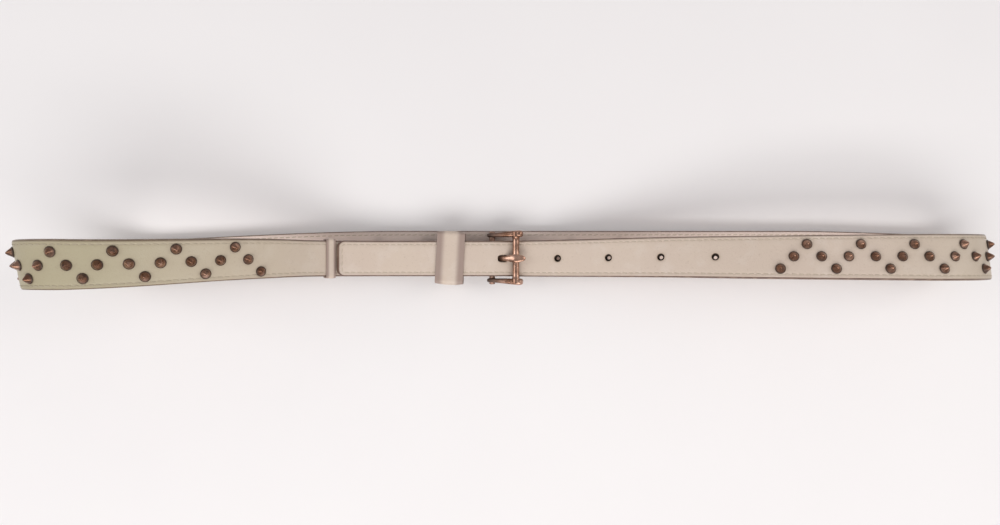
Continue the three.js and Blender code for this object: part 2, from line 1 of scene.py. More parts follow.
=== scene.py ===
import math
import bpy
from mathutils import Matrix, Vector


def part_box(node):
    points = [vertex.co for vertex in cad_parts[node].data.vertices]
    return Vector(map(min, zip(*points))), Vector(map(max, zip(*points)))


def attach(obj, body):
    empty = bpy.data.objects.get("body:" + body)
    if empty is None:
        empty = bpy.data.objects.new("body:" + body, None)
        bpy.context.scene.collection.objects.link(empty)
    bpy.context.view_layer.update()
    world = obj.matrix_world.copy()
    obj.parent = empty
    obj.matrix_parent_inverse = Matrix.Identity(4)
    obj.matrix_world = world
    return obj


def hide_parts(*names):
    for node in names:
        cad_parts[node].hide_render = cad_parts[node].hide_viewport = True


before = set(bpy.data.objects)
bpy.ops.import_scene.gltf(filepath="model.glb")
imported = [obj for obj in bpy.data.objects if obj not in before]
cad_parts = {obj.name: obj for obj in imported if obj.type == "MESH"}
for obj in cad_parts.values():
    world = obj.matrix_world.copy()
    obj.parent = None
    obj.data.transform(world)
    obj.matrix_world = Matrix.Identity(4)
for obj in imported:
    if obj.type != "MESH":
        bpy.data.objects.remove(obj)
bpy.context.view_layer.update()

from types import SimpleNamespace

import bpy
import numpy as np

# Everything below is worked out in millimetres in the belt's own drawing frame and moved onto the
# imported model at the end, by the place of its pivot bar.
beltSizes = dict(
    pivotX=-4.0, pivotZ=9.55, pinRadius=1.5, foldRadius=2.95, thickness=3.2, faceThickness=1.2,
    fillerDepth=1.7, fillerThickness=0.6, liningDepth=2.35, liningThickness=0.85,
    restGap=0.3, farFaceZ=3.0, flapFaceZ=7.8, fixedFaceZ=12.5, tipFaceZ=16.0,
    flapEnd=-42.0, flapFlatEnd=-12.0, layersStart=-9.6,
    leftReach=215.0, rightReach=239.0, leftHeight=76.0, rightHeight=47.0,
    riseX=-56.0, riseRadius=52.0, riseAngle=math.radians(46), dipRadius=6.0, dipZ=12.15,
    overRadius=6.45, barX=8.0, barZ=14.15, barRadius=1.7, buckleY=2.4, frameWidth=27.3,
    strapWidth=21.2, endWidth=17.0, dipWidth=17.4, tipCorner=3.0, tipGap=0.8,
    collarX=-83.7, collarLength=4.8, nearRunY=2.0, leftBulbY=-1.2, farRunY=5.2, rightBulbY=2.8,
    leftRoll=math.radians(11), rightRoll=math.radians(-13),
)
belt = SimpleNamespace(**beltSizes)

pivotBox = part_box("pivot_bar")
pivotCentre = (np.array(pivotBox[0]) + np.array(pivotBox[1])) * 500
shift = pivotCentre - np.array([belt.pivotX, belt.buckleY, belt.pivotZ])


def toMetres(points):
    return (np.asarray(points, float) + shift) * 0.001


# route of the strap
# Every stretch is sampled as an array of X and Z. The outer face lies on the right of the way.
def lineRun(start, end, step=1.0):
    count = max(2, int(math.dist(start, end) / step))
    share = np.linspace(0, 1, count)[:, None]
    return np.array(start) * (1 - share) + np.array(end) * share


def arcRun(centre, radius, fromAngle, toAngle, step=0.4):
    count = max(6, int(abs(toAngle - fromAngle) * radius / step))
    angle = np.linspace(fromAngle, toAngle, count)
    return np.stack([centre[0] + radius * np.cos(angle), centre[1] + radius * np.sin(angle)], 1)


def bezierRun(p0, p1, p2, p3, count=160):
    # cubic curve: the four points weighted by the Bernstein polynomials
    t = np.linspace(0, 1, count)[:, None]
    p0, p1, p2, p3 = map(np.array, (p0, p1, p2, p3))
    return p0 * (1 - t) ** 3 + 3 * p1 * t * (1 - t) ** 2 + 3 * p2 * t**2 * (1 - t) + p3 * t**3


leftBulb = dict(
    topInset=27.0, endShare=0.66, slopeHandle=28.0, topHandle=40.0, shoulderHandle=15.0, endHandle=17.0,
    underShare=0.31, underInset=18.0, bottomInset=43.0,
)
rightBulb = dict(
    bottomInset=27.0, bottomHandle=11.0, underShare=0.22, endShare=0.43, endHandle=12.0,
    shoulderInset=17.0, topInset=39.0, plateauInset=79.0, footHandleInset=101.0, footInset=143.0,
    footShare=0.64, footHandle=(21.0, 7.2),
)
slopeToDip = dict(start=0.41, steepness=0.34, end=0.2)
flapHandle = 3.0


def strapRoute():
    half = math.pi / 2
    pivot, dipCentre = (belt.pivotX, belt.pivotZ), (belt.barX, belt.dipZ + belt.dipRadius)
    riseCentre = (belt.riseX, belt.fixedFaceZ + belt.riseRadius)
    foldBottom, level, top = belt.pivotZ - belt.foldRadius, belt.farFaceZ, belt.rightHeight
    left, right = -belt.leftReach, belt.rightReach
    fixedEnd, tipEnd = (belt.riseX, belt.fixedFaceZ), (belt.riseX, belt.tipFaceZ)
    rise = arcRun(riseCentre, belt.riseRadius, -half, -half - belt.riseAngle)
    riseX, riseZ = rise[-1]
    upX, upZ = (leftBulb["slopeHandle"] * way(belt.riseAngle) for way in (math.cos, math.sin))
    leftTop = (left + leftBulb["topInset"], belt.leftHeight)
    leftEnd = (left, leftBulb["endShare"] * belt.leftHeight)
    leftBottom = (left + leftBulb["bottomInset"], level)
    rightLow = (right - rightBulb["bottomInset"], level)
    rightEnd = (right, rightBulb["endShare"] * top)
    rightTop = (right - rightBulb["topInset"], top)
    plateauEnd = (right - rightBulb["plateauInset"], top)
    footX = right - rightBulb["footInset"]
    footZ = belt.tipFaceZ + rightBulb["footShare"] * (top - belt.tipFaceZ)
    handleX, handleZ = rightBulb["footHandle"]
    slopeRun, dipRun = (slopeToDip[key] * (footX - belt.barX) for key in ("start", "end"))
    drop = slopeToDip["steepness"] * slopeRun
    awayX, awayZ = dipCentre[0] - pivot[0], dipCentre[1] - pivot[1]
    climb = math.asin((belt.overRadius + belt.dipRadius) / math.hypot(awayX, awayZ))
    climb -= math.atan2(awayZ, awayX)
    over = arcRun(pivot, belt.overRadius, half - climb, half)
    dip = arcRun(dipCentre, belt.dipRadius, -half, -half - climb)
    tipAngle = math.asin((belt.riseX - belt.collarX) / belt.riseRadius)
    tipAngle -= (belt.collarLength / 2 + belt.tipGap) / belt.riseRadius
    return [
        ("flap", lineRun((belt.flapEnd, belt.flapFaceZ), (belt.flapFlatEnd, belt.flapFaceZ))),
        ("flapBend", bezierRun((belt.flapFlatEnd, belt.flapFaceZ),
                               (belt.flapFlatEnd + flapHandle, belt.flapFaceZ),
                               (belt.pivotX - flapHandle, foldBottom), (belt.pivotX, foldBottom), 40)),
        ("fold", arcRun(pivot, belt.foldRadius, -half, half)),
        ("fixed", lineRun((belt.pivotX, belt.fixedFaceZ), fixedEnd)),
        ("rise", rise),
        ("leftSlope", bezierRun((riseX, riseZ), (riseX - upX, riseZ + upZ),
                                (leftTop[0] + leftBulb["topHandle"], leftTop[1]), leftTop)),
        ("leftTop", bezierRun(leftTop, (leftTop[0] - leftBulb["shoulderHandle"], leftTop[1]),
                              (left, leftEnd[1] + leftBulb["endHandle"]), leftEnd)),
        ("leftBottom", bezierRun(leftEnd, (left, leftBulb["underShare"] * belt.leftHeight),
                                 (left + leftBulb["underInset"], level), leftBottom)),
        ("lowerRun", lineRun(leftBottom, rightLow)),
        ("rightBottom", bezierRun(rightLow, (right - rightBulb["bottomHandle"], level),
                                  (right, rightBulb["underShare"] * top), rightEnd)),
        ("rightTop", bezierRun(rightEnd, (right, rightEnd[1] + rightBulb["endHandle"]),
                               (right - rightBulb["shoulderInset"], top), rightTop)),
        ("plateau", lineRun(rightTop, plateauEnd)),
        ("rightShoulder", bezierRun(plateauEnd, (right - rightBulb["footHandleInset"], top),
                                    (footX + handleX, footZ + handleZ), (footX, footZ))),
        ("rightSlope", bezierRun((footX, footZ), (footX - slopeRun, footZ - drop),
                                 (belt.barX + dipRun, belt.dipZ), (belt.barX, belt.dipZ))),
        ("dip", dip),
        ("climb", lineRun(tuple(dip[-1]), tuple(over[0]), 0.5)),
        ("over", over),
        ("tipRun", lineRun((belt.pivotX, belt.tipFaceZ), tipEnd)),
        ("tipRise", arcRun(riseCentre, riseCentre[1] - belt.tipFaceZ, -half, -half - tipAngle)),
    ]


routeRuns = strapRoute()
routePoints = np.concatenate([routeRuns[0][1]] + [run[1:] for _, run in routeRuns[1:]])
routeSteps = np.hypot(*np.diff(routePoints, axis=0).T)
routeDistance = np.concatenate([[0], np.cumsum(routeSteps)])
beltLength = routeDistance[-1]
endOf = {}
counted = 0
for runName, runLine in routeRuns:
    counted += len(runLine) - (1 if counted else 0)
    endOf[runName] = routeDistance[counted - 1]
print("route", round(beltLength, 1), "mm")


def between(marks, s, smooth=True):
    # value between [distance, value] marks, along smooth steps (3t^2 - 2t^3) or straight lines
    places = np.array([mark[0] for mark in marks])
    values = np.array([mark[1] for mark in marks])
    index = np.clip(np.searchsorted(places, s) - 1, 0, len(marks) - 2)
    share = np.clip((s - places[index]) / (places[index + 1] - places[index]), 0, 1)
    if smooth:
        share = share * share * (3 - 2 * share)
    return values[index] + (values[index + 1] - values[index]) * share


lateralMarks = [
    (endOf["rise"], belt.nearRunY), (endOf["leftSlope"], belt.leftBulbY), (endOf["leftTop"], belt.leftBulbY),
    (endOf["leftBottom"] + 120, belt.farRunY), (endOf["lowerRun"] - 60, belt.farRunY),
    (endOf["rightBottom"], belt.rightBulbY), (endOf["rightShoulder"], belt.rightBulbY),
    (endOf["rightSlope"], belt.nearRunY),
]
rollMarks = [
    (endOf["rise"], 0), (endOf["rise"] + 50, belt.leftRoll), (endOf["leftSlope"], belt.leftRoll),
    (endOf["leftBottom"], 0), (endOf["lowerRun"], 0), (endOf["rightTop"], belt.rightRoll),
    (endOf["rightShoulder"] - 40, belt.rightRoll), (endOf["rightSlope"] - 20, 0),
]
widthMarks = [
    (endOf["rise"], belt.endWidth / 2), (endOf["leftSlope"], belt.strapWidth / 2),
    (endOf["rightTop"], belt.strapWidth / 2), (endOf["rightSlope"], belt.dipWidth / 2),
    (endOf["rightSlope"] + belt.dipRadius, belt.endWidth / 2),
]


def routeAt(s):
    return np.stack([np.interp(s, routeDistance, routePoints[:, k]) for k in (0, 1)], -1)


def strapWay(s):
    # point of the outer face and the unit ways along, across and out at each distance s
    inside = np.clip(s, 0, beltLength)
    reach = 0.35
    point = routeAt(inside)
    way = routeAt(np.clip(inside + reach, 0, beltLength)) - routeAt(np.clip(inside - reach, 0, beltLength))
    way /= np.linalg.norm(way, axis=-1, keepdims=True)
    zero = np.zeros_like(inside)
    along = np.stack([way[..., 0], zero, way[..., 1]], -1)
    out = np.stack([way[..., 1], zero, -way[..., 0]], -1)
    across = np.stack([zero, zero + 1, zero], -1)
    roll = between(rollMarks, inside)[..., None]
    rolledAcross = across * np.cos(roll) + out * np.sin(roll)
    rolledOut = out * np.cos(roll) - across * np.sin(roll)
    origin = np.stack([point[..., 0], between(lateralMarks, inside), point[..., 1]], -1)
    origin = origin + along * (s - inside)[..., None]
    return origin, along, rolledAcross, rolledOut


def onStrap(s, lateral, depth):
    # origin + lateral * across - depth * out
    s, lateral, depth = np.broadcast_arrays(np.asarray(s, float), lateral, depth)
    origin, _, across, out = strapWay(s)
    return origin + across * lateral[..., None] - out * depth[..., None]


def fullHalf(s):
    return between(widthMarks, s, smooth=False)


def insetAt(s, lateral, startS):
    # distance inside the strap's outline: a rectangle whose two tip corners are round
    a = s - (beltLength - belt.tipCorner)
    b = np.abs(lateral) - (fullHalf(s) - belt.tipCorner)
    outside = np.hypot(np.maximum(a, 0), np.maximum(b, 0)) + np.minimum(np.maximum(a, b), 0)
    return np.minimum(belt.tipCorner - outside, s - startS)


def halfAt(s):
    # half width, drawn in along a circle at the tip's corners
    reach = np.clip(belt.tipCorner - (beltLength - s), 0, belt.tipCorner)
    return fullHalf(s) - belt.tipCorner + np.sqrt(belt.tipCorner**2 - reach**2)


def distanceAtX(x, fromS, toS):
    s = np.linspace(fromS, toS, 4000)
    xs = np.interp(s, routeDistance, routePoints[:, 0])
    order = np.argsort(xs)
    return float(np.interp(x, xs[order], s[order]))


layersFrom = distanceAtX(belt.layersStart, endOf["fold"], endOf["rise"])


# mesh helpers
def signedVolume(points, quads):
    a, b, c, d = (points[quads[:, k]] for k in range(4))
    return float(np.sum(a * (np.cross(b, c) + np.cross(c, d))))


def gridShell(points, closedU=False, closedV=True, caps=True):
    # quads over a grid of points; open ends along U are closed by a middle point each
    points = np.asarray(points, float)
    countU, countV = points.shape[:2]
    flat = points.reshape(-1, 3)
    u = np.arange(countU if closedU else countU - 1)
    v = np.arange(countV if closedV else countV - 1)
    uu, vv = np.meshgrid(u, v, indexing="ij")
    nextU, nextV = (uu + 1) % countU, (vv + 1) % countV
    quads = np.stack([uu * countV + vv, nextU * countV + vv, nextU * countV + nextV, uu * countV + nextV], -1)
    quads = quads.reshape(-1, 4)
    if caps and not closedU:
        first, last = len(flat), len(flat) + 1
        flat = np.concatenate([flat, points[0].mean(0)[None], points[-1].mean(0)[None]])
        v = np.arange(countV)
        w = (v + 1) % countV
        base = (countU - 1) * countV
        quads = np.concatenate([
            quads,
            np.stack([v, w, np.full_like(v, first), np.full_like(v, first)], 1),
            np.stack([base + w, base + v, np.full_like(v, last), np.full_like(v, last)], 1),
        ])
    return outward(flat, quads)


def outward(points, quads):
    # a closed shell whose signed volume is negative has its faces turned round
    return (points, quads if signedVolume(points, quads) > 0 else quads[:, ::-1])


def joinShells(shells):
    points, quads, start = [], [], 0
    for p, q in shells:
        points.append(p)
        quads.append(q + start)
        start += len(p)
    return np.concatenate(points), np.concatenate(quads)


def makePiece(name, shell, material, body, replaced=(), marks=None, sharpness=None):
    points, quads = shell
    mesh = bpy.data.meshes.new(name)
    faces = [[int(i) for i in dict.fromkeys(quad)] for quad in quads.tolist()]
    mesh.from_pydata(toMetres(points).tolist(), [], faces)
    mesh.validate()
    mesh.shade_smooth()
    if sharpness:
        mesh.set_sharp_from_angle(angle=math.radians(sharpness))
    for markName, values in (marks or {}).items():
        layer = mesh.attributes.new(markName, "FLOAT", "POINT")
        layer.data.foreach_set("value", np.asarray(values, np.float32))
    mesh.materials.append(material)
    piece = bpy.data.objects.new(name, mesh)
    bpy.context.scene.collection.objects.link(piece)
    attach(piece, body)
    if replaced:
        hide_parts(*replaced)
    print("piece", name, len(points), "points")
    return piece


def turned(profile, sides):
    # profile of (radius, height) turned about Z: (r cos a, r sin a, h)
    angle = np.linspace(0, 2 * math.pi, sides, endpoint=False)
    profile = np.asarray(profile, float)
    return np.stack([
        profile[:, None, 0] * np.cos(angle), profile[:, None, 0] * np.sin(angle),
        np.repeat(profile[:, 1:2], sides, 1),
    ], -1)


# materials, all worked out in object space
def newMaterial(name):
    material = bpy.data.materials.new(name)
    material.use_nodes = True
    tree = material.node_tree
    tree.nodes.clear()
    return material, tree, tree.nodes.new("ShaderNodeTexCoord").outputs["Object"]


def feed(tree, sockets, given):
    # numbers and colours are set on the named sockets themselves, outputs are linked to them
    for name, value in given.items():
        if isinstance(value, (int, float, tuple)):
            sockets[name].default_value = value
        else:
            tree.links.new(value, sockets[name])


def mathNode(tree, operation, first, second, clamp=False):
    node = tree.nodes.new("ShaderNodeMath")
    node.operation, node.use_clamp = operation, clamp
    feed(tree, node.inputs, {0: first, 1: second})
    return node.outputs[0]


def times(tree, first, second, clamp=False):
    return mathNode(tree, "MULTIPLY", first, second, clamp)


def plus(tree, first, second, clamp=False):
    return mathNode(tree, "ADD", first, second, clamp)


def spread(tree, value, share, level, clamp=False):
    # level + share * value
    return plus(tree, times(tree, value, share), level, clamp)


def mixColours(tree, factor, first, second):
    node = tree.nodes.new("ShaderNodeMix")
    node.data_type = "RGBA"
    colours = [socket for socket in node.inputs if socket.type == "RGBA"]
    feed(tree, [node.inputs[0]] + colours, {0: factor, 1: first, 2: second})
    return next(socket for socket in node.outputs if socket.type == "RGBA")


def dyed(tree, colour, mask, share, dye):
    # the colour mixed towards a dye by a share of a mask
    return mixColours(tree, times(tree, mask, share, True), colour, dye)


def smoothRange(tree, value, low, high):
    node = tree.nodes.new("ShaderNodeMapRange")
    node.interpolation_type = "SMOOTHSTEP"
    feed(tree, node.inputs, {"From Min": low, "From Max": high, "Value": value})
    return node.outputs["Result"]


def attributeOf(tree, name):
    node = tree.nodes.new("ShaderNodeAttribute")
    node.attribute_name = name
    return node.outputs["Fac"]


def noiseOf(tree, place, scale, detail=3.0, roughness=0.55, distortion=0.0):
    node = tree.nodes.new("ShaderNodeTexNoise")
    feed(tree, node.inputs, {
        "Vector": place, "Scale": scale, "Detail": detail, "Roughness": roughness, "Distortion": distortion,
    })
    return node.outputs["Fac"]


def newGroup(name, inputs, outputs):
    # a group with a place and some numbers going in, and numbers coming out
    group = bpy.data.node_groups.new(name, "ShaderNodeTree")
    group.interface.new_socket("Place", in_out="INPUT", socket_type="NodeSocketVector")
    for socketName, value in inputs.items():
        socket = group.interface.new_socket(socketName, in_out="INPUT", socket_type="NodeSocketFloat")
        socket.default_value = value
    for socketName in outputs:
        group.interface.new_socket(socketName, in_out="OUTPUT", socket_type="NodeSocketFloat")
    return group, group.nodes.new("NodeGroupInput").outputs, group.nodes.new("NodeGroupOutput").inputs


def placeGroup(tree, group, given):
    node = tree.nodes.new("ShaderNodeGroup")
    node.node_tree = group
    feed(tree, node.inputs, given)
    return node.outputs


def finishMaterial(tree, colour, roughness, height=None, bump=(0.3, 0.0002), more=None):
    shader = tree.nodes.new("ShaderNodeBsdfPrincipled")
    output = tree.nodes.new("ShaderNodeOutputMaterial")
    tree.links.new(shader.outputs[0], output.inputs["Surface"])
    feed(tree, shader.inputs, {"Base Color": colour, "Roughness": roughness, **(more or {})})
    if height is not None:
        node = tree.nodes.new("ShaderNodeBump")
        feed(tree, node.inputs, {"Strength": bump[0], "Distance": bump[1], "Height": height})
        tree.links.new(node.outputs["Normal"], shader.inputs["Normal"])


# Noises are given as scale, detail, roughness and distortion, bumps as strength and depth.
grain = dict(
    scale=1250.0, smoothness=0.35, power=1.6, cellHeight=-0.75, poreHeight=0.22, waveHeight=0.9,
    pores=(5200.0, 2.0), waves=(260.0, 3.0), clouds=(42.0, 4.0, 0.6), specks=(900.0, 3.0, 0.7),
    speckRange=(0.56, 0.72),
)


def makeGrainGroup():
    # pebbled grain: a smooth cell pattern's borders, with pores and soft waves added
    numbers = {"Grain Scale": grain["scale"]}
    group, given, result = newGroup("leatherGrain", numbers, ["Height", "Cloud", "Speck"])
    place = given["Place"]
    cells = group.nodes.new("ShaderNodeTexVoronoi")
    cells.feature = "SMOOTH_F1"
    feed(group, cells.inputs, {
        "Smoothness": grain["smoothness"], "Vector": place, "Scale": given["Grain Scale"],
    })
    borders = mathNode(group, "POWER", cells.outputs["Distance"], grain["power"])
    pores = times(group, noiseOf(group, place, *grain["pores"]), grain["poreHeight"])
    waves = times(group, noiseOf(group, place, *grain["waves"]), grain["waveHeight"])
    specks = noiseOf(group, place, *grain["specks"])
    feed(group, result, {
        "Height": plus(group, spread(group, borders, grain["cellHeight"], pores), waves),
        "Cloud": noiseOf(group, place, *grain["clouds"]),
        "Speck": smoothRange(group, specks, *grain["speckRange"]),
    })
    return group


rubbing = dict(
    broad=(5.0, 0.5), fine=(2600.0, 4.0, 0.7), edgeLift=0.12, fineLift=0.25, maskRange=(0.62, 0.86),
)


def makeWearGroup():
    # worn patches: a soft mask of two noises, raised where it comes near an edge
    group, given, result = newGroup("rubbedWear", {"Edge": 0.0, "Patch Scale": 300.0}, ["Mask", "Fine"])
    broad = noiseOf(group, given["Place"], given["Patch Scale"], *rubbing["broad"])
    fine = noiseOf(group, given["Place"], *rubbing["fine"])
    raised = plus(group, broad, times(group, given["Edge"], rubbing["edgeLift"]))
    mixed = plus(group, raised, times(group, fine, rubbing["fineLift"]))
    feed(group, result, {"Mask": smoothRange(group, mixed, *rubbing["maskRange"]), "Fine": fine})
    return group


grainGroup = makeGrainGroup()
wearGroup = makeWearGroup()


def wornAt(tree, place, edgeName, patchScale):
    edgeMask = attributeOf(tree, edgeName)
    return placeGroup(tree, wearGroup, {"Place": place, "Edge": edgeMask, "Patch Scale": patchScale})


leather = dict(
    base=(0.615, 0.50, 0.42, 1), warm=(0.66, 0.55, 0.45, 1), pale=(0.72, 0.63, 0.56, 1),
    # the last colour on the next line is painted shade in and round the holes and at the studs' feet
    # the olive colour on the next line is painted shade and colour cast towards the strap's ends
    paintedEndShade=(0.37, 0.33, 0.205, 1), soiled=(0.25, 0.17, 0.12, 1), holeAndStudShade=(0.33, 0.24, 0.16, 1),
    # the first colour on the next line is painted shade on the keeper's and collar's steep sides
    loopSideShade=(0.33, 0.24, 0.205, 1), paleShare=0.35, paintedEndShadeShare=0.86, speckShare=0.16, holeAndStudShadeShare=0.9,
    edgeShare=0.5, loopSideShadeShare=0.92, patchScale=120.0, holeAndStudShadeLevel=0.1,
    roughness=0.36, roughnessShare=0.22, heightGloss=0.12, specular=0.42, bump=(0.35, 0.00016),
)


def makeLeather(name, edgeShare, edgeDyeAndShade):
    # cream leather: clouded dye, worn pale patches, painted shade and colour cast towards the strap's ends,
    # specks, dyed edges (on the loops, painted shade on their steep sides) and painted shade in and round the
    # holes and at the studs' feet
    material, tree, place = newMaterial(name)
    surface = placeGroup(tree, grainGroup, {"Place": place, "Grain Scale": grain["scale"]})
    wear = wornAt(tree, place, "edgeNear", leather["patchScale"])
    # painted shade in and round the holes and at the studs' feet, broken up by the fine noise
    holeAndStudShade = times(tree, attributeOf(tree, "holeNear"), plus(tree, wear["Fine"], leather["holeAndStudShadeLevel"]))
    colour = mixColours(tree, surface["Cloud"], leather["base"], leather["warm"])
    for mask, share, dye in (
        (wear["Mask"], leather["paleShare"], leather["pale"]),
        (attributeOf(tree, "paintedEndShade"), leather["paintedEndShadeShare"], leather["paintedEndShade"]),
        (surface["Speck"], leather["speckShare"], leather["soiled"]),
        (attributeOf(tree, "edgeNear"), edgeShare, edgeDyeAndShade),
        (holeAndStudShade, leather["holeAndStudShadeShare"], leather["holeAndStudShade"]),
    ):
        colour = dyed(tree, colour, mask, share, dye)
    roughness = spread(tree, wear["Fine"], leather["roughnessShare"], leather["roughness"])
    gloss = times(tree, surface["Height"], leather["heightGloss"])
    finishMaterial(tree, colour, mathNode(tree, "SUBTRACT", roughness, gloss, True), surface["Height"],
                   leather["bump"], {"Specular IOR Level": leather["specular"]})
    return material


# A plain look is one noise between two colours, dyes laid over it by mask and share, and a bump.
# near black: painted shade in the holes and round the studs' backs
paintedHoleAndStudShade = (0.03, 0.018, 0.012, 1)
looks = dict(
    # brushed suede: fine fibres over soft blotches
    liningSuede=dict(
        dark=(0.72, 0.59, 0.52, 1), light=(0.82, 0.70, 0.63, 1), noise=(3800.0, 4.0, 0.7, 0.6),
        blend=(90.0, 4.0), roughness=0.88, bump=(0.5, 0.00022),
        dyes=[("noise", 0.25, (0.42, 0.31, 0.26, 1)), ("edgeNear", 0.3, (0.24, 0.15, 0.11, 1)),
              ("holeNear", 1.0, paintedHoleAndStudShade)],
        more={"Sheen Weight": 0.25, "Sheen Roughness": 0.5},
    ),
    fillerBoard=dict(
        dark=(0.20, 0.125, 0.075, 1), light=(0.42, 0.30, 0.20, 1), noise=(2400.0, 5.0, 0.75, 1.2),
        roughness=0.93, bump=(0.5, 0.0002), dyes=[("holeNear", 1.0, paintedHoleAndStudShade)],
    ),
    # layered edge paint: dark brown, rubbed lighter on its bulge
    edgePaint=dict(
        dark=(0.095, 0.05, 0.037, 1), light=(0.19, 0.108, 0.078, 1), noise=(700.0, 3.0), patchScale=210.0,
        roughness=0.25, roughnessShare=0.3, bump=(0.25, 0.0002),
        # the first dye is painted shade and colour cast towards the strap's ends
        dyes=[("paintedEndShade", 0.45, (0.22, 0.18, 0.10, 1)), ("worn", 0.4, (0.40, 0.29, 0.21, 1))],
    ),
    # waxed thread: fine twist lines across a pale yarn
    waxedThread=dict(
        dark=(0.40, 0.325, 0.24, 1), light=(0.66, 0.57, 0.46, 1), noise=(4200.0, 2.0, 0.6, 1.5),
        # the dye is painted shade and colour cast towards the strap's ends
        roughness=0.62, bump=(0.5, 0.0001), dyes=[("paintedEndShade", 0.6, (0.33, 0.29, 0.19, 1))],
    ),
    # brushed steel: noise stretched along the strap
    brushedSteel=dict(
        dark=(0.42, 0.40, 0.38, 1), light=(0.66, 0.64, 0.61, 1), noise=(6000.0, 3.0),
        stretch=(0.06, 1.0, 1.0), roughness=0.24, roughnessShare=0.2, bump=(0.15, 0.00005),
        more={"Metallic": 1.0},
    ),
    paleFloor=dict(
        dark=(0.86, 0.835, 0.835, 1), light=(0.91, 0.89, 0.885, 1), noise=(6.0, 3.0), roughness=0.9,
    ),
)


def makeLook(name):
    look = looks[name]
    material, tree, place = newMaterial(name)
    if "stretch" in look:
        mapping = tree.nodes.new("ShaderNodeMapping")
        feed(tree, mapping.inputs, {"Scale": look["stretch"], "Vector": place})
        place = mapping.outputs["Vector"]
    noise = rough = noiseOf(tree, place, *look["noise"])
    masks = {"noise": noise}
    if "patchScale" in look:
        wear = wornAt(tree, place, "edgeNear", look["patchScale"])
        masks["worn"], rough = wear["Mask"], wear["Fine"]
    blend = noiseOf(tree, place, *look["blend"]) if "blend" in look else noise
    colour = mixColours(tree, blend, look["dark"], look["light"])
    for maskName, share, dye in look.get("dyes", ()):
        mask = masks[maskName] if maskName in masks else attributeOf(tree, maskName)
        colour = dyed(tree, colour, mask, share, dye)
    roughness = look["roughness"]
    if "roughnessShare" in look:
        roughness = spread(tree, rough, look["roughnessShare"], roughness)
    bump = look.get("bump")
    finishMaterial(tree, colour, roughness, noise if bump else None, bump, look.get("more"))
    return material


copper = dict(
    # the last colour on the next line is tarnish in patches and, at the studs' feet, painted shade and dark
    # reflection too
    bright=(0.64, 0.40, 0.30, 1), deep=(0.22, 0.11, 0.068, 1), tarnishAndShade=(0.04, 0.02, 0.012, 1),
    clouds=(160.0, 4.0), scratches=(3400.0, 5.0, 0.8, 2.0), footShare=0.97,
    roughness=0.15, scratchRoughness=0.16, dullRoughness=0.22, dullMatte=0.8, bump=(0.08, 0.00003),
)


def makeCopper(name, patchScale, tarnishShare, deepRange):
    # polished copper plate: bright and deep in clouds, tarnished in patches, and darkened with the same dark
    # colour by the foot mark: round the studs' feet that is painted shade and dark reflection as well as
    # tarnish, on the buckle and prong it is darker towards the pivot end, on the pin an even dullness
    material, tree, place = newMaterial(name)
    wear = wornAt(tree, place, "foot", patchScale)
    clouds = smoothRange(tree, noiseOf(tree, place, *copper["clouds"]), *deepRange)
    scratches = noiseOf(tree, place, *copper["scratches"])
    patches = times(tree, wear["Mask"], tarnishShare, True)
    # foot mark: painted shade and dark reflection with tarnish at the studs' feet; darker towards the pivot
    # end on the buckle and prong
    foot = times(tree, attributeOf(tree, "foot"), copper["footShare"])
    dull = mathNode(tree, "MAXIMUM", patches, foot)
    colour = mixColours(tree, clouds, copper["bright"], copper["deep"])
    colour = mixColours(tree, dull, colour, copper["tarnishAndShade"])
    roughness = spread(tree, scratches, copper["scratchRoughness"], copper["roughness"])
    roughness = plus(tree, roughness, times(tree, dull, copper["dullRoughness"]), True)
    metallic = mathNode(tree, "SUBTRACT", 1.0, times(tree, dull, copper["dullMatte"]))
    finishMaterial(tree, colour, roughness, scratches, copper["bump"], {"Metallic": metallic})
    return material


strapLeather = makeLeather("creamLeather", leather["edgeShare"], leather["soiled"])
# on the keeper and collar the edge colour is painted shade on their steep sides
keeperLeather = makeLeather("creamLeatherLoops", leather["loopSideShadeShare"], leather["loopSideShade"])
liningSuede, fillerBoard, edgePaint, waxedThread = map(
    makeLook, ("liningSuede", "fillerBoard", "edgePaint", "waxedThread"))
studCopper = makeCopper("studCopper", 420.0, 0.85, (0.15, 0.6))
buckleCopper = makeCopper("buckleCopper", 260.0, 0.6, (0.3, 0.68))
brushedSteel = makeLook("brushedSteel")
print("materials ready")


# studs' places
studs = dict(pitch=6.25, rowOffset=5.8, leftInset=104.5, rightInset=109.5, height=3.0, radius=2.4)
studStart = distanceAtX(studs["leftInset"] - belt.leftReach, endOf["rise"], endOf["leftSlope"])
studEnd = distanceAtX(belt.rightReach - studs["rightInset"], endOf["rightTop"], endOf["rightSlope"])
studSteps = 4 * round((studEnd - studStart) / (4 * studs["pitch"]))
studS = studStart + (studEnd - studStart) * np.arange(studSteps + 1) / studSteps
studLateral = np.array([-1, 0, 1, 0])[np.arange(studSteps + 1) % 4] * studs["rowOffset"]
leftExtreme = endOf["leftTop"] + studs["pitch"]
rightExtreme = endOf["rightBottom"] - studs["pitch"]
isLeft, isRight = studS < leftExtreme, studS > rightExtreme


# strap layers
strap = dict(
    rowStep=2.0, bendStep=0.75, topRounding=0.75, lowerRounding=0.18, crown=0.1,
    stitchInset=1.6, grooveDepth=0.16, grooveWidth=0.34, innerColumn=3.5,
    edgeInsets=(2.35, 1.98, 1.74, 1.6, 1.44, 1.2, 0.85, 0.55, 0.3, 0.12, 0.0),
    holeRadius=1.75, holePitch=25.4, holeCount=4, firstHoleX=28.8,
)


def roundDepth(inset, radius):
    # drop of a rounded edge: r - sqrt(r^2 - (r - inset)^2)
    reach = np.clip(radius - inset, 0, radius)
    return radius - np.sqrt(np.maximum(radius**2 - reach**2, 0))


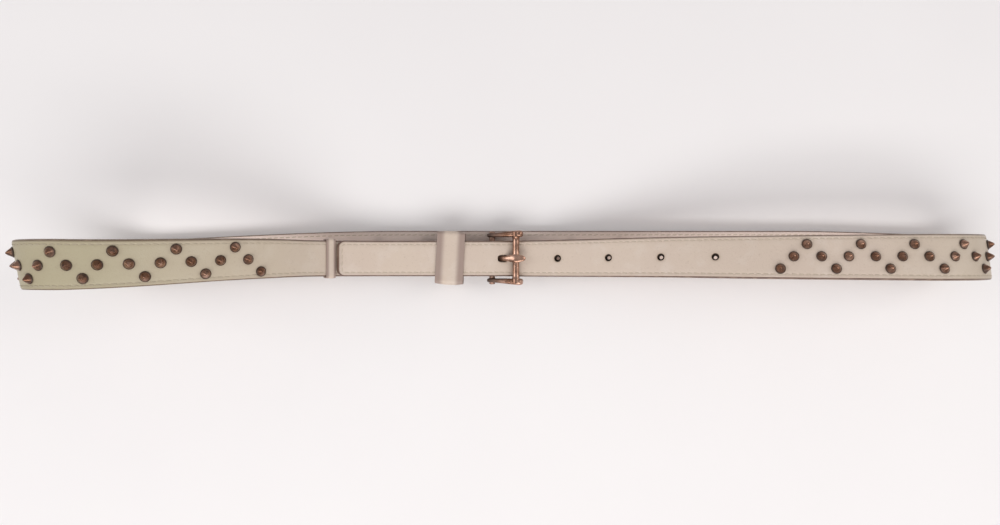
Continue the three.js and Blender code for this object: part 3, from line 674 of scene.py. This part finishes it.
def topRelief(s, lateral, startS):
    inset = insetAt(s, lateral, startS)
    groove = strap["grooveDepth"] * np.exp(-(((inset - strap["stitchInset"]) / strap["grooveWidth"]) ** 2))
    groove = groove * np.clip((s - layersFrom) / 3, 0, 1)
    crown = strap["crown"] * (lateral / fullHalf(s)) ** 2
    return roundDepth(inset, strap["topRounding"]) + groove + crown


prong = dict(
    width=2.6, thickness=1.9, overhang=4.8, eyeGap=0.15, boreGap=0.15, barGap=0.15, sideGap=0.5,
)


def prongLine(count):
    # smooth curve through the stem's marks: Hermite pieces over chord lengths
    overBar = belt.barZ + belt.barRadius + prong["barGap"] + prong["thickness"] / 2
    marks = np.array([
        (belt.pivotX + 1.7, belt.pivotZ + 0.7), (belt.pivotX + 4.5, belt.pivotZ + 3.1),
        (belt.barX - 3.8, overBar - 1.9), (belt.barX, overBar + 0.05),
        (belt.barX + prong["overhang"], overBar - 0.35),
    ])
    knots = np.concatenate([[0], np.cumsum(np.hypot(*np.diff(marks, axis=0).T))])
    slopes = np.gradient(marks, knots, axis=0)
    t = np.linspace(0, knots[-1], count)
    index = np.clip(np.searchsorted(knots, t, side="right") - 1, 0, len(knots) - 2)
    span = (knots[index + 1] - knots[index])[:, None]
    u = ((t - knots[index])[:, None]) / span
    line = (2 * u**3 - 3 * u**2 + 1) * marks[index] + (u**3 - 2 * u**2 + u) * span * slopes[index]
    return line + (-2 * u**3 + 3 * u**2) * marks[index + 1] + (u**3 - u**2) * span * slopes[index + 1]


def prongCrossing():
    # where the stem's middle line passes the strap's outer and inner faces, as distances along the strap
    line = prongLine(400)
    s = np.linspace(endOf["rightSlope"], endOf["over"], 900)
    found = []
    for depth in (0.0, belt.thickness):
        face = onStrap(s, 0.0, depth)[:, (0, 2)]
        apart = np.hypot(face[:, None, 0] - line[None, :, 0], face[:, None, 1] - line[None, :, 1])
        found.append(s[np.unravel_index(np.argmin(apart), apart.shape)[0]])
    return sorted(found)


def holePlan():
    # centre, half length, half width and squareness of each hole in the strap
    first = distanceAtX(strap["firstHoleX"], endOf["rightTop"], endOf["rightSlope"])
    plan = [(first - i * strap["holePitch"], strap["holeRadius"], strap["holeRadius"], 2.0, 3.6, 8)
            for i in range(strap["holeCount"])]
    low, high = prongCrossing()
    halfLength = (high - low) / 2 + prong["thickness"] * 0.62 + 0.55
    halfWidth = prong["width"] / 2 + prong["sideGap"]
    plan.append(((low + high) / 2, halfLength, halfWidth, 3.0, halfLength + 1.3, 12))
    slotFrom = distanceAtX(belt.pivotX - belt.foldRadius - 1.2, 0, endOf["flapBend"])
    slotTo = distanceAtX(belt.pivotX - belt.foldRadius - 1.2, endOf["fold"], endOf["rise"])
    slotHalf = (slotTo - slotFrom) / 2
    fold = ((slotTo + slotFrom) / 2, slotHalf, halfWidth, 6.0, slotHalf + 1.6, 30)
    return plan, fold


throughHoles, foldSlot = holePlan()
holeCentres = np.array([hole[0] for hole in throughHoles])


def layerRows(fromS, toS, holes):
    rows = [fromS]
    previous = 0.0
    for name, _ in routeRuns:
        end = endOf[name]
        step = strap["bendStep"] if name in ("flapBend", "fold", "dip", "climb", "over") else strap["rowStep"]
        rows.extend(np.linspace(previous, end, max(2, int((end - previous) / step) + 1))[1:])
        previous = end
    insets = np.array(strap["edgeInsets"])
    rows.extend(toS - insets)
    rows.extend(fromS + insets)
    rows.extend(toS - belt.tipCorner * np.array([1, 0.9]))
    rows = np.array([row for row in rows if fromS <= row <= toS])
    for centre, _, _, _, half, cells in holes:
        rows = rows[(rows < centre - half - 0.3) | (rows > centre + half + 0.3)]
        rows = np.concatenate([rows, centre + np.linspace(-half, half, cells + 1)])
    rows = np.unique(np.round(rows, 4))
    keep = np.concatenate([[True], np.diff(rows) > 0.04])
    return rows[keep]


def layerColumns(s, narrow):
    # middle columns keep their place for the holes; outer ones follow the edge and crowd towards it
    half = halfAt(s) - narrow
    inner = np.minimum(strap["innerColumn"], 0.6 * half)
    squeeze = np.clip((half - inner) / 4.0, 0, 1)
    middle = inner[:, None] * np.linspace(-1, 1, 9)
    edges = half[:, None] - squeeze[:, None] * np.array(strap["edgeInsets"])
    spread = inner[:, None] + (edges[:, :1] - inner[:, None]) * np.array([[1 / 3, 2 / 3]])
    side = np.concatenate([spread, edges], 1)
    return np.concatenate([-side[:, ::-1], middle, side], 1)


def layerShell(fromS, toS, topDepth, thickness, narrow, holes, relief):
    # a slab over the strap's distance and width, with rings of quads round each hole
    rows = layerRows(fromS, toS, holes)
    lateral = layerColumns(rows, narrow)
    countS, countC = lateral.shape
    s = np.repeat(rows[:, None], countC, 1)
    firstColumn = (countC - 9) // 2
    index = np.arange(countS * countC).reshape(countS, countC)
    planS, planL = [s.ravel()], [lateral.ravel()]
    drop = [np.zeros(countS * countC)]
    solid = np.ones((countS - 1, countC - 1), bool)
    total = countS * countC
    topQuads, wallPairs = [], []
    for centre, halfLength, halfWidth, power, half, _ in holes:
        i0 = int(np.argmin(np.abs(rows - (centre - half))))
        i1 = int(np.argmin(np.abs(rows - (centre + half))))
        j0, j1 = firstColumn, firstColumn + 8
        solid[i0:i1, j0:j1] = False
        loop = np.concatenate([index[i0:i1, j0], index[i1, j0:j1], index[i1:i0:-1, j1], index[i0, j1:j0:-1]])
        outS, outL = planS[0][loop], planL[0][loop]
        u, v = (outS - centre) / half, outL / strap["innerColumn"]
        norm = (np.abs(u) ** power + np.abs(v) ** power) ** (1 / power)
        holeS, holeL = centre + halfLength * u / norm, halfWidth * v / norm
        ring = loop
        for share, sink in ((0.5, 0.0), (0.2, 0.0), (0.06, 0.05), (0.0, 0.2)):
            made = np.arange(total, total + len(loop))
            total += len(loop)
            planS.append(holeS + (outS - holeS) * share)
            planL.append(holeL + (outL - holeL) * share)
            drop.append(np.full(len(loop), sink))
            nextRing, nextMade = np.roll(ring, -1), np.roll(made, -1)
            topQuads.append(np.stack([ring, nextRing, nextMade, made], 1))
            ring = made
        wallPairs.append(ring)
    i, j = np.nonzero(solid)
    topQuads.append(np.stack([index[i, j], index[i + 1, j], index[i + 1, j + 1], index[i, j + 1]], 1))
    topQuads = np.concatenate(topQuads)
    planS, planL, drop = map(np.concatenate, (planS, planL, drop))
    edgeInset = np.minimum(insetAt(planS, planL, fromS), toS - planS) - narrow
    top = topDepth + drop + (topRelief(planS, planL, fromS) if relief else roundDepth(edgeInset, 0.05))
    bottom = topDepth + thickness - drop * 0.5 - roundDepth(edgeInset, strap["lowerRounding"])
    points = np.concatenate([onStrap(planS, planL, top), onStrap(planS, planL, bottom)])
    sides = []
    rim = np.concatenate([index[:-1, 0], index[-1, :-1], index[:0:-1, -1], index[0, :0:-1]])
    for ring in [rim] + [pair[::-1] for pair in wallPairs]:
        following = np.roll(ring, -1)
        sides.append(np.stack([following, ring, ring + total, following + total], 1))
    quads = np.concatenate([topQuads, topQuads[:, ::-1] + total] + sides)
    planS, planL = np.tile(planS, 2), np.tile(planL, 2)
    return outward(points, quads), planS, planL


def narrowed(holes, radius):
    # a punch leaves a smaller hole in the layers behind the face
    return [(centre, radius, radius, *rest) if power == 2.0 else (centre, a, b, *rest)
            for centre, a, b, *rest in holes for power in rest[:1]]


def strapMarks(s, lateral, studShare=0.55):
    inset = insetAt(s, lateral, 0.0)
    origin, _, _, _ = strapWay(s)
    # darker olive tint towards both ends, stronger on the left: painted shade and colour cast of the light
    leftSide = np.clip((-origin[:, 0] - 78) / 95, 0, 1)
    rightSide = np.clip((origin[:, 0] - 165) / 75, 0, 1)
    paintedEndShade = np.maximum(leftSide ** 0.8, 0.42 * rightSide)
    near = np.min(np.hypot(s[:, None] - holeCentres, lateral[:, None]), 1)
    studNear = np.zeros_like(s)
    for first in range(0, len(s), 8000):
        part = slice(first, first + 8000)
        apart = np.hypot(s[part, None] - studS, lateral[part, None] - studLateral).min(1)
        studNear[part] = np.exp(-np.clip(apart - studs["radius"], 0, None) / 0.55)
    # holeNear: painted shade in and round the holes, with a share of painted shade round each stud
    holeNear = np.maximum(np.exp(-np.clip(near - strap["holeRadius"], 0, None) / 0.5), studShare * studNear)
    return {"edgeNear": np.exp(-np.clip(inset, 0, None) / 0.55), "paintedEndShade": paintedEndShade, "holeNear": holeNear}


shell, planS, planL = layerShell(0.0, beltLength, 0.0, belt.faceThickness, 0.0,
                                 throughHoles + [foldSlot], True)
makePiece("strap_face", shell, strapLeather, "strap", ["strap_face_leather"],
          strapMarks(planS, planL), sharpness=50)
boardHoles = narrowed(throughHoles, 1.3)
shell, planS, planL = layerShell(layersFrom, beltLength, belt.fillerDepth, belt.fillerThickness, 0.25,
                                 boardHoles, False)
makePiece("strap_board", shell, fillerBoard, "strap", ["strap_filler"],
          strapMarks(planS, planL), sharpness=50)
suedeHoles = narrowed(throughHoles, 0.85)
shell, planS, planL = layerShell(layersFrom, beltLength, belt.liningDepth, belt.liningThickness, 0.06,
                                 suedeHoles, False)
makePiece("strap_suede", shell, liningSuede, "strap", ["strap_lining"],
          # a faint painted shade of the studs' backs on the lining
          strapMarks(planS, planL, 0.16), sharpness=50)


# painted edges
edge = dict(bulge=0.42, back=-0.12, topDepth=0.36, lowerDepth=0.14)


def outlinePath(inset, closed):
    # distance, lateral place and outward way of points round the strap's outline, moved in by an inset
    rows = layerRows(0.0 if closed else layersFrom + 3, beltLength - belt.tipCorner, [])
    radius = belt.tipCorner - inset
    half = fullHalf(np.array([beltLength]))[0] - belt.tipCorner
    turn = np.linspace(0, math.pi / 2, 9)[1:]
    corner = (beltLength - belt.tipCorner + radius * np.sin(turn), half + radius * np.cos(turn))
    across = np.linspace(half, -half, 18)[1:-1]
    s = np.concatenate([rows, corner[0], np.full(16, beltLength - inset), corner[0][::-1], rows[::-1]])
    side, level, straight = fullHalf(rows) - inset, np.zeros(len(rows)), np.ones(len(rows))
    lateral = np.concatenate([side, corner[1], across, -corner[1][::-1], -side[::-1]])
    wayS = np.concatenate([level, np.sin(turn), np.ones(16), np.sin(turn)[::-1], level])
    wayL = np.concatenate([straight, np.cos(turn), np.zeros(16), -np.cos(turn)[::-1], -straight])
    if closed:
        end = np.linspace(-1, 1, 14) * fullHalf(np.array([0.0]))[0]
        s, lateral = np.concatenate([s, np.zeros(14)]), np.concatenate([lateral, end])
        wayS, wayL = np.concatenate([wayS, -np.ones(14)]), np.concatenate([wayL, np.zeros(14)])
    return s, lateral, wayS, wayL


def edgeShell():
    # half ellipse swept round the outline: bulge cos a outwards, half height sin a in depth
    s, lateral, wayS, wayL = outlinePath(0.0, True)
    share = np.clip((s - layersFrom) / 0.6, 0, 1)
    thickness = belt.faceThickness + (belt.thickness - belt.faceThickness) * share
    middle = (edge["topDepth"] + thickness - edge["lowerDepth"]) / 2
    halfDepth = (thickness - edge["lowerDepth"] - edge["topDepth"]) / 2
    angle = np.linspace(-math.pi / 2, math.pi / 2, 9)
    out = np.concatenate([[edge["back"]], edge["bulge"] * np.cos(angle), [edge["back"]]])
    level = np.concatenate([[-1], np.sin(angle), [1]])
    depth = middle[:, None] + halfDepth[:, None] * level
    points = onStrap(s[:, None] + wayS[:, None] * out, lateral[:, None] + wayL[:, None] * out, depth)
    marks = {"edgeNear": np.tile(np.clip(np.cos(np.concatenate([[2], angle, [2]])), 0, 1), len(s))}
    # painted shade and colour cast towards the strap's ends
    marks["paintedEndShade"] = strapMarks(np.repeat(s, 11), np.repeat(lateral, 11))["paintedEndShade"]
    return gridShell(points, closedU=True), marks


shell, marks = edgeShell()
makePiece("strap_edges", shell, edgePaint, "strap", marks=marks)


# stitching
stitch = dict(pitch=3.1, length=2.25, width=0.52, height=0.3, slant=0.1)


def repeatShell(base, origins, alongs, acrosses, outs):
    # one small shell set at many frames: origin + x along + y across + z out
    points, quads = base
    x, y, z = points[None, :, :1], points[None, :, 1:2], points[None, :, 2:]
    placed = origins[:, None] + x * alongs[:, None] + y * acrosses[:, None] + z * outs[:, None]
    starts = np.arange(len(origins))[:, None, None] * len(points)
    return placed.reshape(-1, 3), (quads[None] + starts).reshape(-1, 4)


def stitchBase():
    # rounded bar: x = a cos u, section shrinking as the fourth root of 1 - cos^4 u
    u = np.linspace(0.12, math.pi - 0.12, 6)
    v = np.linspace(0, 2 * math.pi, 6, endpoint=False)
    x = -0.5 * stitch["length"] * np.cos(u)
    size = (1 - np.abs(np.cos(u)) ** 4) ** 0.25
    grid = np.stack([
        np.repeat(x[:, None], 6, 1), 0.5 * stitch["width"] * size[:, None] * np.cos(v),
        0.5 * stitch["height"] * size[:, None] * np.sin(v),
    ], -1)
    return gridShell(grid)


def stitchRow(depth):
    s, lateral, wayS, wayL = outlinePath(strap["stitchInset"], False)
    steps = np.hypot(np.diff(s), np.diff(lateral))
    run = np.concatenate([[0], np.cumsum(steps)])
    places = np.arange(stitch["pitch"] / 2, run[-1], stitch["pitch"])
    s, lateral, wayS, wayL = (np.interp(places, run, values) for values in (s, lateral, wayS, wayL))
    _, along, across, _ = strapWay(s)
    forward = along * wayL[:, None] - across * wayS[:, None]
    sideways = along * wayS[:, None] + across * wayL[:, None]
    slant = stitch["slant"]
    slanted = forward * math.cos(slant) + sideways * math.sin(slant)
    sideways = sideways * math.cos(slant) - forward * math.sin(slant)
    centre = onStrap(s, lateral, depth)
    up = np.cross(slanted, sideways)
    base = stitchBase()
    shell = repeatShell(base, centre, slanted, sideways, up)
    # painted shade and colour cast towards the strap's ends
    return shell, {"paintedEndShade": np.repeat(strapMarks(s, lateral)["paintedEndShade"], len(base[0]))}


shell, marks = stitchRow(strap["grooveDepth"] - 0.01)
makePiece("face_stitching", shell, waxedThread, "strap", marks=marks)
shell, marks = stitchRow(belt.thickness - 0.02)
makePiece("lining_stitching", shell, waxedThread, "strap", marks=marks)


# studs
def studProfile(count):
    # rim, small step, then a cone whose radius falls as (1 - t)^0.8 to a rounded tip
    radius, height = studs["radius"], studs["height"]
    rim = [(0, 0.02), (radius - 0.12, 0.02), (radius, 0.12), (radius, 0.3), (radius - 0.08, 0.4)]
    rim.append((radius - 0.24, 0.44))
    t = np.linspace(0, 0.955, count)
    cone = [(0.2 + (radius - 0.48) * (1 - u) ** 0.8, 0.46 + (height - 0.46) * u * 0.99) for u in t]
    return np.array(rim + cone + [(0.22, height - 0.06), (0.1, height - 0.01), (0, height)])


def studShell(mask, sides, count):
    radius, height = studs["radius"], studs["height"]
    plain = [(0, 0.02), (radius, 0.02), (radius, 0.4), (1.5, 1.6), (0.35, height - 0.1), (0, height)]
    profile = studProfile(count) if count else np.array(plain)
    grid = turned(profile[1:-1], sides)
    points, quads = gridShell(grid, caps=True)
    points[-2:] = [[0, 0, profile[0][1]], [0, 0, profile[-1][1]]]
    base = outward(points, quads)
    s, lateral = studS[mask], studLateral[mask]
    _, _, across, out = strapWay(s)
    along = np.cross(across, out)
    shell = repeatShell(base, onStrap(s, lateral, 0.0), along, across, out)
    # painted shade and dark reflection, with tarnish, darkening the stud towards its foot
    foot = np.exp(-np.clip(points[:, 2] - 0.4, 0, None) / 0.55)
    return shell, {"foot": np.tile(foot, len(s))}


leftNames = [f"stud_left_{i + 1:02d}" for i in range(int(isLeft.sum()))]
rightNames = [f"stud_right_{i + 1:02d}" for i in range(int(isRight.sum()))]
for pieceName, mask, names in (("studs_left", isLeft, leftNames), ("studs_right", isRight, rightNames)):
    shell, marks = studShell(mask, 36, 9)
    makePiece(pieceName, shell, studCopper, "strap", names, marks, sharpness=40)
shell, marks = studShell(~isLeft & ~isRight, 12, 0)
makePiece("studs_below", shell, studCopper, "strap", ["lower_run_studs"], marks, sharpness=40)


# buckle
buckle = dict(
    armWidth=3.2, earRadius=2.6, endRadius=2.1, overshoot=1.5, rounding=1.15, boreRadius=1.6, earShare=0.62,
    barInset=0.8, flare=0.4, flareReach=0.55, pinInset=0.12,
)


def armOutline():
    # hull of the ear's and the bar end's circles: each point is a centre, a radius and an outward angle
    pivot, end = np.array([belt.pivotX, belt.pivotZ]), np.array([belt.barX + buckle["overshoot"], belt.barZ])
    away = end - pivot
    lean = math.atan2(away[1], away[0])
    spread = math.acos((buckle["earRadius"] - buckle["endRadius"]) / np.hypot(*away))
    front = np.linspace(lean - spread, lean + spread, 22)
    ear = np.linspace(lean + spread, lean - spread + 2 * math.pi, 30)
    share = np.linspace(0, 1, 14)[1:-1]
    angle = np.concatenate([front, np.full(12, front[-1]), ear, np.full(12, ear[-1])])
    along = np.concatenate([np.ones(22), 1 - share, np.zeros(30), share])
    centre = pivot + along[:, None] * away
    radius = buckle["earRadius"] + (buckle["endRadius"] - buckle["earRadius"]) * along
    return centre, radius, np.stack([np.cos(angle), np.sin(angle)], 1)


def armShell(side):
    centre, radius, normal = armOutline()

    def outline(inset):
        return centre + (radius - inset)[:, None] * normal

    pivot = np.array([belt.pivotX, belt.pivotZ])
    spokes = outline(0) - pivot
    bore = pivot + buckle["boreRadius"] * spokes / np.linalg.norm(spokes, axis=1, keepdims=True)
    half, r = buckle["armWidth"] / 2, buckle["rounding"]
    turn = np.linspace(0, math.pi / 2, 6)
    rings = [(bore, half - 0.25), (pivot + (bore - pivot) * 1.12, half)]
    rings += [(outline(r * 1.35), half)]
    rings += [(outline(r * (1 - math.sin(a))), half - r + r * math.cos(a)) for a in turn]
    rings += [(outline(r * (1 - math.cos(a))), -(half - r) - r * math.sin(a)) for a in turn]
    rings += [(pivot + (bore - pivot) * 1.12, -half), (bore, -half + 0.25)]
    grid = np.stack([np.stack([ring[:, 0], np.full(len(ring), y), ring[:, 1]], 1) for ring, y in rings], 1)
    share = np.clip((grid[..., 0] - belt.pivotX) / (belt.barX - belt.pivotX), 0, 1)
    width = buckle["earShare"] + (1 - buckle["earShare"]) * share
    grid[..., 1] = -half + (grid[..., 1] + half) * width
    grid[..., 1] = belt.buckleY + side * (belt.frameWidth / 2 - half + grid[..., 1])
    points, quads = gridShell(grid, closedU=True, closedV=True)
    return points, quads


def rodShell(radii, places, x, z, sides=40):
    # circles of given radii about a line along Y
    angle = np.linspace(0, 2 * math.pi, sides, endpoint=False)
    radii, places = np.asarray(radii), np.asarray(places)
    radii, places = radii[:, None], np.repeat(places[:, None], sides, 1)
    grid = np.stack([x + radii * np.cos(angle), places, z + radii * np.sin(angle)], -1)
    return gridShell(grid)


def barShell():
    half = belt.frameWidth / 2 - buckle["barInset"]
    y = np.linspace(-half, half, 48)
    fromArm = np.clip(belt.frameWidth / 2 - buckle["armWidth"] - np.abs(y), 0, None)
    radii = belt.barRadius + buckle["flare"] * np.exp(-fromArm / buckle["flareReach"])
    return rodShell(radii, belt.buckleY + y, belt.barX, belt.barZ)


shell = joinShells([armShell(1), armShell(-1), barShell()])
makePiece("buckle_ring", shell, buckleCopper, "buckle", ["buckle_frame"],
          {"foot": 0.95 * np.clip((4.5 - shell[0][:, 0]) / 9, 0, 1)}, sharpness=45)
half = belt.frameWidth / 2 - buckle["pinInset"]
tip = np.linspace(0.25, math.pi / 2, 6)
pinRadii = belt.pinRadius * np.concatenate([np.sin(tip), np.sin(tip[::-1])])
pinPlaces = np.concatenate([-half + 0.4 - 0.4 * np.cos(tip), half - 0.4 + 0.4 * np.cos(tip[::-1])])
shell = rodShell(pinRadii, belt.buckleY + pinPlaces, belt.pivotX, belt.pivotZ)
makePiece("buckle_pin", shell, buckleCopper, "buckle", ["pivot_bar"],
          {"foot": np.full(len(shell[0]), 0.45)}, sharpness=45)


def prongShell():
    # rounded-square section carried along the stem; wider where it lies on the bar, narrow at its tip
    line = prongLine(64)
    way = np.gradient(line, axis=0)
    way /= np.linalg.norm(way, axis=1, keepdims=True)
    run = np.concatenate([[0], np.cumsum(np.hypot(*np.diff(line, axis=0).T))])
    share = run / run[-1]
    halfWidth = np.interp(share, [0, 0.45, 0.72, 0.86, 1], [1.3, 1.35, 2.3, 1.7, 1.05])
    halfDepth = np.interp(share, [0, 0.5, 0.75, 1], [0.95, 0.93, 0.8, 0.55])
    endRound = np.sqrt(np.clip(1 - np.clip((share - 0.93) / 0.0705, 0, 1) ** 2, 0.01, 1))
    angle = np.linspace(0, 2 * math.pi, 28, endpoint=False)
    power = 0.72
    across = np.sign(np.cos(angle)) * np.abs(np.cos(angle)) ** power
    up = np.sign(np.sin(angle)) * np.abs(np.sin(angle)) ** power
    width = (halfWidth * endRound)[:, None] * across
    lift = (halfDepth * endRound)[:, None] * up
    grid = np.stack([
        line[:, :1] - way[:, 1:] * lift, belt.nearRunY + width, line[:, 1:] + way[:, :1] * lift,
    ], -1)
    return gridShell(grid)


def prongEye():
    # rounded-square section turned about the pin
    inner, outer = belt.pinRadius + prong["boreGap"], belt.foldRadius - prong["eyeGap"]
    angle = np.linspace(0, 2 * math.pi, 20, endpoint=False)
    power = 0.6
    level = np.sign(np.cos(angle)) * np.abs(np.cos(angle)) ** power
    radial = (inner + outer) / 2 + (outer - inner) / 2 * level
    side = prong["width"] / 2 * np.sign(np.sin(angle)) * np.abs(np.sin(angle)) ** power
    turn = np.linspace(0, 2 * math.pi, 56, endpoint=False)
    grid = np.stack([
        belt.pivotX + np.cos(turn)[:, None] * radial, belt.nearRunY + np.repeat(side[None], 56, 0),
        belt.pivotZ + np.sin(turn)[:, None] * radial,
    ], -1)
    return gridShell(grid, closedU=True)


shell = joinShells([prongShell(), prongEye()])
foot = np.clip((3.2 - shell[0][:, 0]) / 5, 0, 1) * 0.9
makePiece("buckle_prong", shell, buckleCopper, "prong", ["prong"], {"foot": foot},
          sharpness=50)


# keeper and collar
loops = dict(
    keeperX=-25.0, keeperShift=0.3, keeperSkew=math.radians(-3), keeperLength=14.0, keeperWall=1.0,
    keeperInner=12.5, keeperBottom=6.5, keeperHeadroom=0.5, keeperCorner=1.2,
    collarWall=0.9, collarSide=9.0, collarCorner=0.5,
)


def ringShell(y0, y1, z0, z1, corner, wall, length, crown, cells):
    # section of length and wall, crowned as |x|^2.4, carried round a rounded rectangle
    corners = [(y1 - corner, z0 + corner, -90), (y1 - corner, z1 - corner, 0), (y0 + corner, z1 - corner, 90),
               (y0 + corner, z0 + corner, 180)]
    places, normals = [], []
    for k, (y, z, start) in enumerate(corners):
        turn = np.radians(start + np.linspace(0, 90, 10))
        arc = np.stack([y + corner * np.cos(turn), z + corner * np.sin(turn)], 1)
        away = np.stack([np.cos(turn), np.sin(turn)], 1)
        places.append(arc)
        normals.append(away)
        nextY, nextZ, _ = corners[(k + 1) % 4]
        target = np.array([nextY, nextZ]) + corner * away[-1]
        share = np.linspace(0, 1, cells + 1)[1:-1, None]
        places.append(arc[-1] * (1 - share) + target * share)
        normals.append(np.repeat(away[-1:], len(share), 0))
    places, normals = np.concatenate(places), np.concatenate(normals)
    x = length / 2 * np.sin(np.linspace(-math.pi / 2, math.pi / 2, 25))
    bow = np.abs(2 * x / length)
    outer = wall * (1 - crown * bow**2.4) * np.where(bow > 0.999, 0.72, 1)
    sectionX = np.concatenate([x, x[::-1][[0, 4, 12, 20, 24]]])
    sectionN = np.concatenate([outer, [0.12, 0, 0, 0, 0.12]])
    grid = np.stack([
        np.repeat(sectionX[None], len(places), 0),
        places[:, :1] + normals[:, :1] * sectionN, places[:, 1:] + normals[:, 1:] * sectionN,
    ], -1)
    points, quads = gridShell(grid, closedU=True)
    # edgeNear rises towards the loop's steep sides, where the loop material paints shade
    fade = np.clip((0.34 - (0.5 - np.abs(sectionX) / length)) / 0.2, 0, 1)
    edgeNear = fade * fade * (3 - 2 * fade)
    edgeNear[-5:] = 1
    return points, quads, {"edgeNear": np.tile(edgeNear, len(places))}


inner = loops["keeperInner"]
keeperLow, keeperHigh = loops["keeperBottom"] + loops["keeperWall"], belt.tipFaceZ + loops["keeperHeadroom"]
points, quads, marks = ringShell(-inner, inner, keeperLow, keeperHigh, loops["keeperCorner"],
                                 loops["keeperWall"], loops["keeperLength"], 0.62, 26)
skew = loops["keeperSkew"]
keeperPoints = np.stack([
    loops["keeperX"] + points[:, 0] * math.cos(skew) - points[:, 1] * math.sin(skew),
    belt.nearRunY + loops["keeperShift"] + points[:, 0] * math.sin(skew) + points[:, 1] * math.cos(skew),
    points[:, 2],
], 1)
makePiece("keeper_band", (keeperPoints, quads), keeperLeather, "keeper", ["keeper_loop"],
          marks)

side = loops["collarSide"]
points, quads, marks = ringShell(-side, side, -belt.thickness - belt.restGap, belt.restGap,
                                 loops["collarCorner"], loops["collarWall"], belt.collarLength, 0.35, 20)
collarS = np.array([distanceAtX(belt.collarX, endOf["fold"], endOf["rise"])])
origin, _, across, out = strapWay(collarS)
along = np.cross(across, out)
shell = repeatShell((points, quads), origin, along, across, out)
makePiece("collar_band", shell, keeperLeather, "strap", ["strap_collar"], marks)


# rivets of the fold
rivets = dict(x=-16.5, spacing=9.0, headRadius=2.0, shankRadius=1.0, proud=0.2, head=0.55)


def rivetShell(y):
    low, high = belt.flapFaceZ - rivets["proud"], belt.fixedFaceZ + rivets["proud"]
    head, wide, thin = rivets["head"], rivets["headRadius"], rivets["shankRadius"]
    dome = [(wide * math.sin(a), 0.22 * (1 - math.cos(a))) for a in np.linspace(0.15, math.pi / 2, 7)]
    profile = [(r, low + h) for r, h in dome] + [(wide, low + head), (thin, low + head + 0.05)]
    profile += [(thin, high - head - 0.05), (wide, high - head)] + [(r, high - h) for r, h in dome[::-1]]
    return gridShell(turned(profile, 28) + np.array([rivets["x"], y, 0]))


for number, step in ((1, -0.5), (2, 0.5)):
    shell = rivetShell(belt.nearRunY + step * rivets["spacing"])
    makePiece(f"fold_rivet_head_{number}", shell, brushedSteel, "strap", [f"fold_rivet_{number}"],
              sharpness=40)
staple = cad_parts["keeper_staple"]
staple.data.materials.clear()
staple.data.materials.append(brushedSteel)
for slotItem in staple.material_slots:
    slotItem.material = brushedSteel


# floor, light and camera
studio = dict(
    floorHalf=4.0, cameraHeight=380.0, focalLength=27.36, sensor=36.0, clipStart=0.01,
    worldColour=(0.97, 0.95, 0.97, 1), worldStrength=0.44,
)


def makeFloor():
    mesh = bpy.data.meshes.new("floor")
    half = studio["floorHalf"]
    corners = [(-half, -half, 0), (half, -half, 0), (half, half, 0), (-half, half, 0)]
    mesh.from_pydata(corners, [], [(0, 1, 2, 3)])
    mesh.materials.append(makeLook("paleFloor"))
    floor = bpy.data.objects.new("floor", mesh)
    bpy.context.scene.collection.objects.link(floor)


def addSoftbox(name, place, target, size, power, colour=(1, 1, 1)):
    data = bpy.data.lights.new(name, "AREA")
    data.shape, data.size, data.size_y = "RECTANGLE", size[0], size[1]
    data.energy, data.color = power, colour
    light = bpy.data.objects.new(name, data)
    bpy.context.scene.collection.objects.link(light)
    light.location = place
    away = np.array(place) - np.array(target)
    flat = math.hypot(away[0], away[1])
    light.rotation_euler = (math.atan2(flat, away[2]), 0, math.atan2(away[0], -away[1]))
    return light


makeFloor()
addSoftbox("keySoftbox", (0.0, -0.75, 0.95), (0, 0, 0.02), (1.6, 0.6), 10.0, (1.0, 0.985, 0.97))
addSoftbox("leftSoftbox", (-1.1, 0.1, 0.8), (-0.1, 0, 0.02), (0.5, 0.9), 3.2, (0.98, 0.99, 1.0))
addSoftbox("rightSoftbox", (1.1, 0.25, 0.8), (0.1, 0, 0.02), (0.5, 0.9), 3.2, (1.0, 0.98, 0.96))
world = bpy.data.worlds.new("studioWorld")
bpy.context.scene.world = world
world.use_nodes = True
background = world.node_tree.nodes["Background"]
background.inputs["Color"].default_value = studio["worldColour"]
background.inputs["Strength"].default_value = studio["worldStrength"]

cameraData = bpy.data.cameras.new("camera")
cameraData.lens, cameraData.sensor_width = studio["focalLength"], studio["sensor"]
cameraData.clip_start = studio["clipStart"]
camera = bpy.data.objects.new("camera", cameraData)
bpy.context.scene.collection.objects.link(camera)
camera.location = toMetres([0.0, 0.0, belt.tipFaceZ + 0.1 + studio["cameraHeight"]])
bpy.context.scene.camera = camera
bpy.context.scene.view_settings.view_transform = "Standard"
print("stage ready")
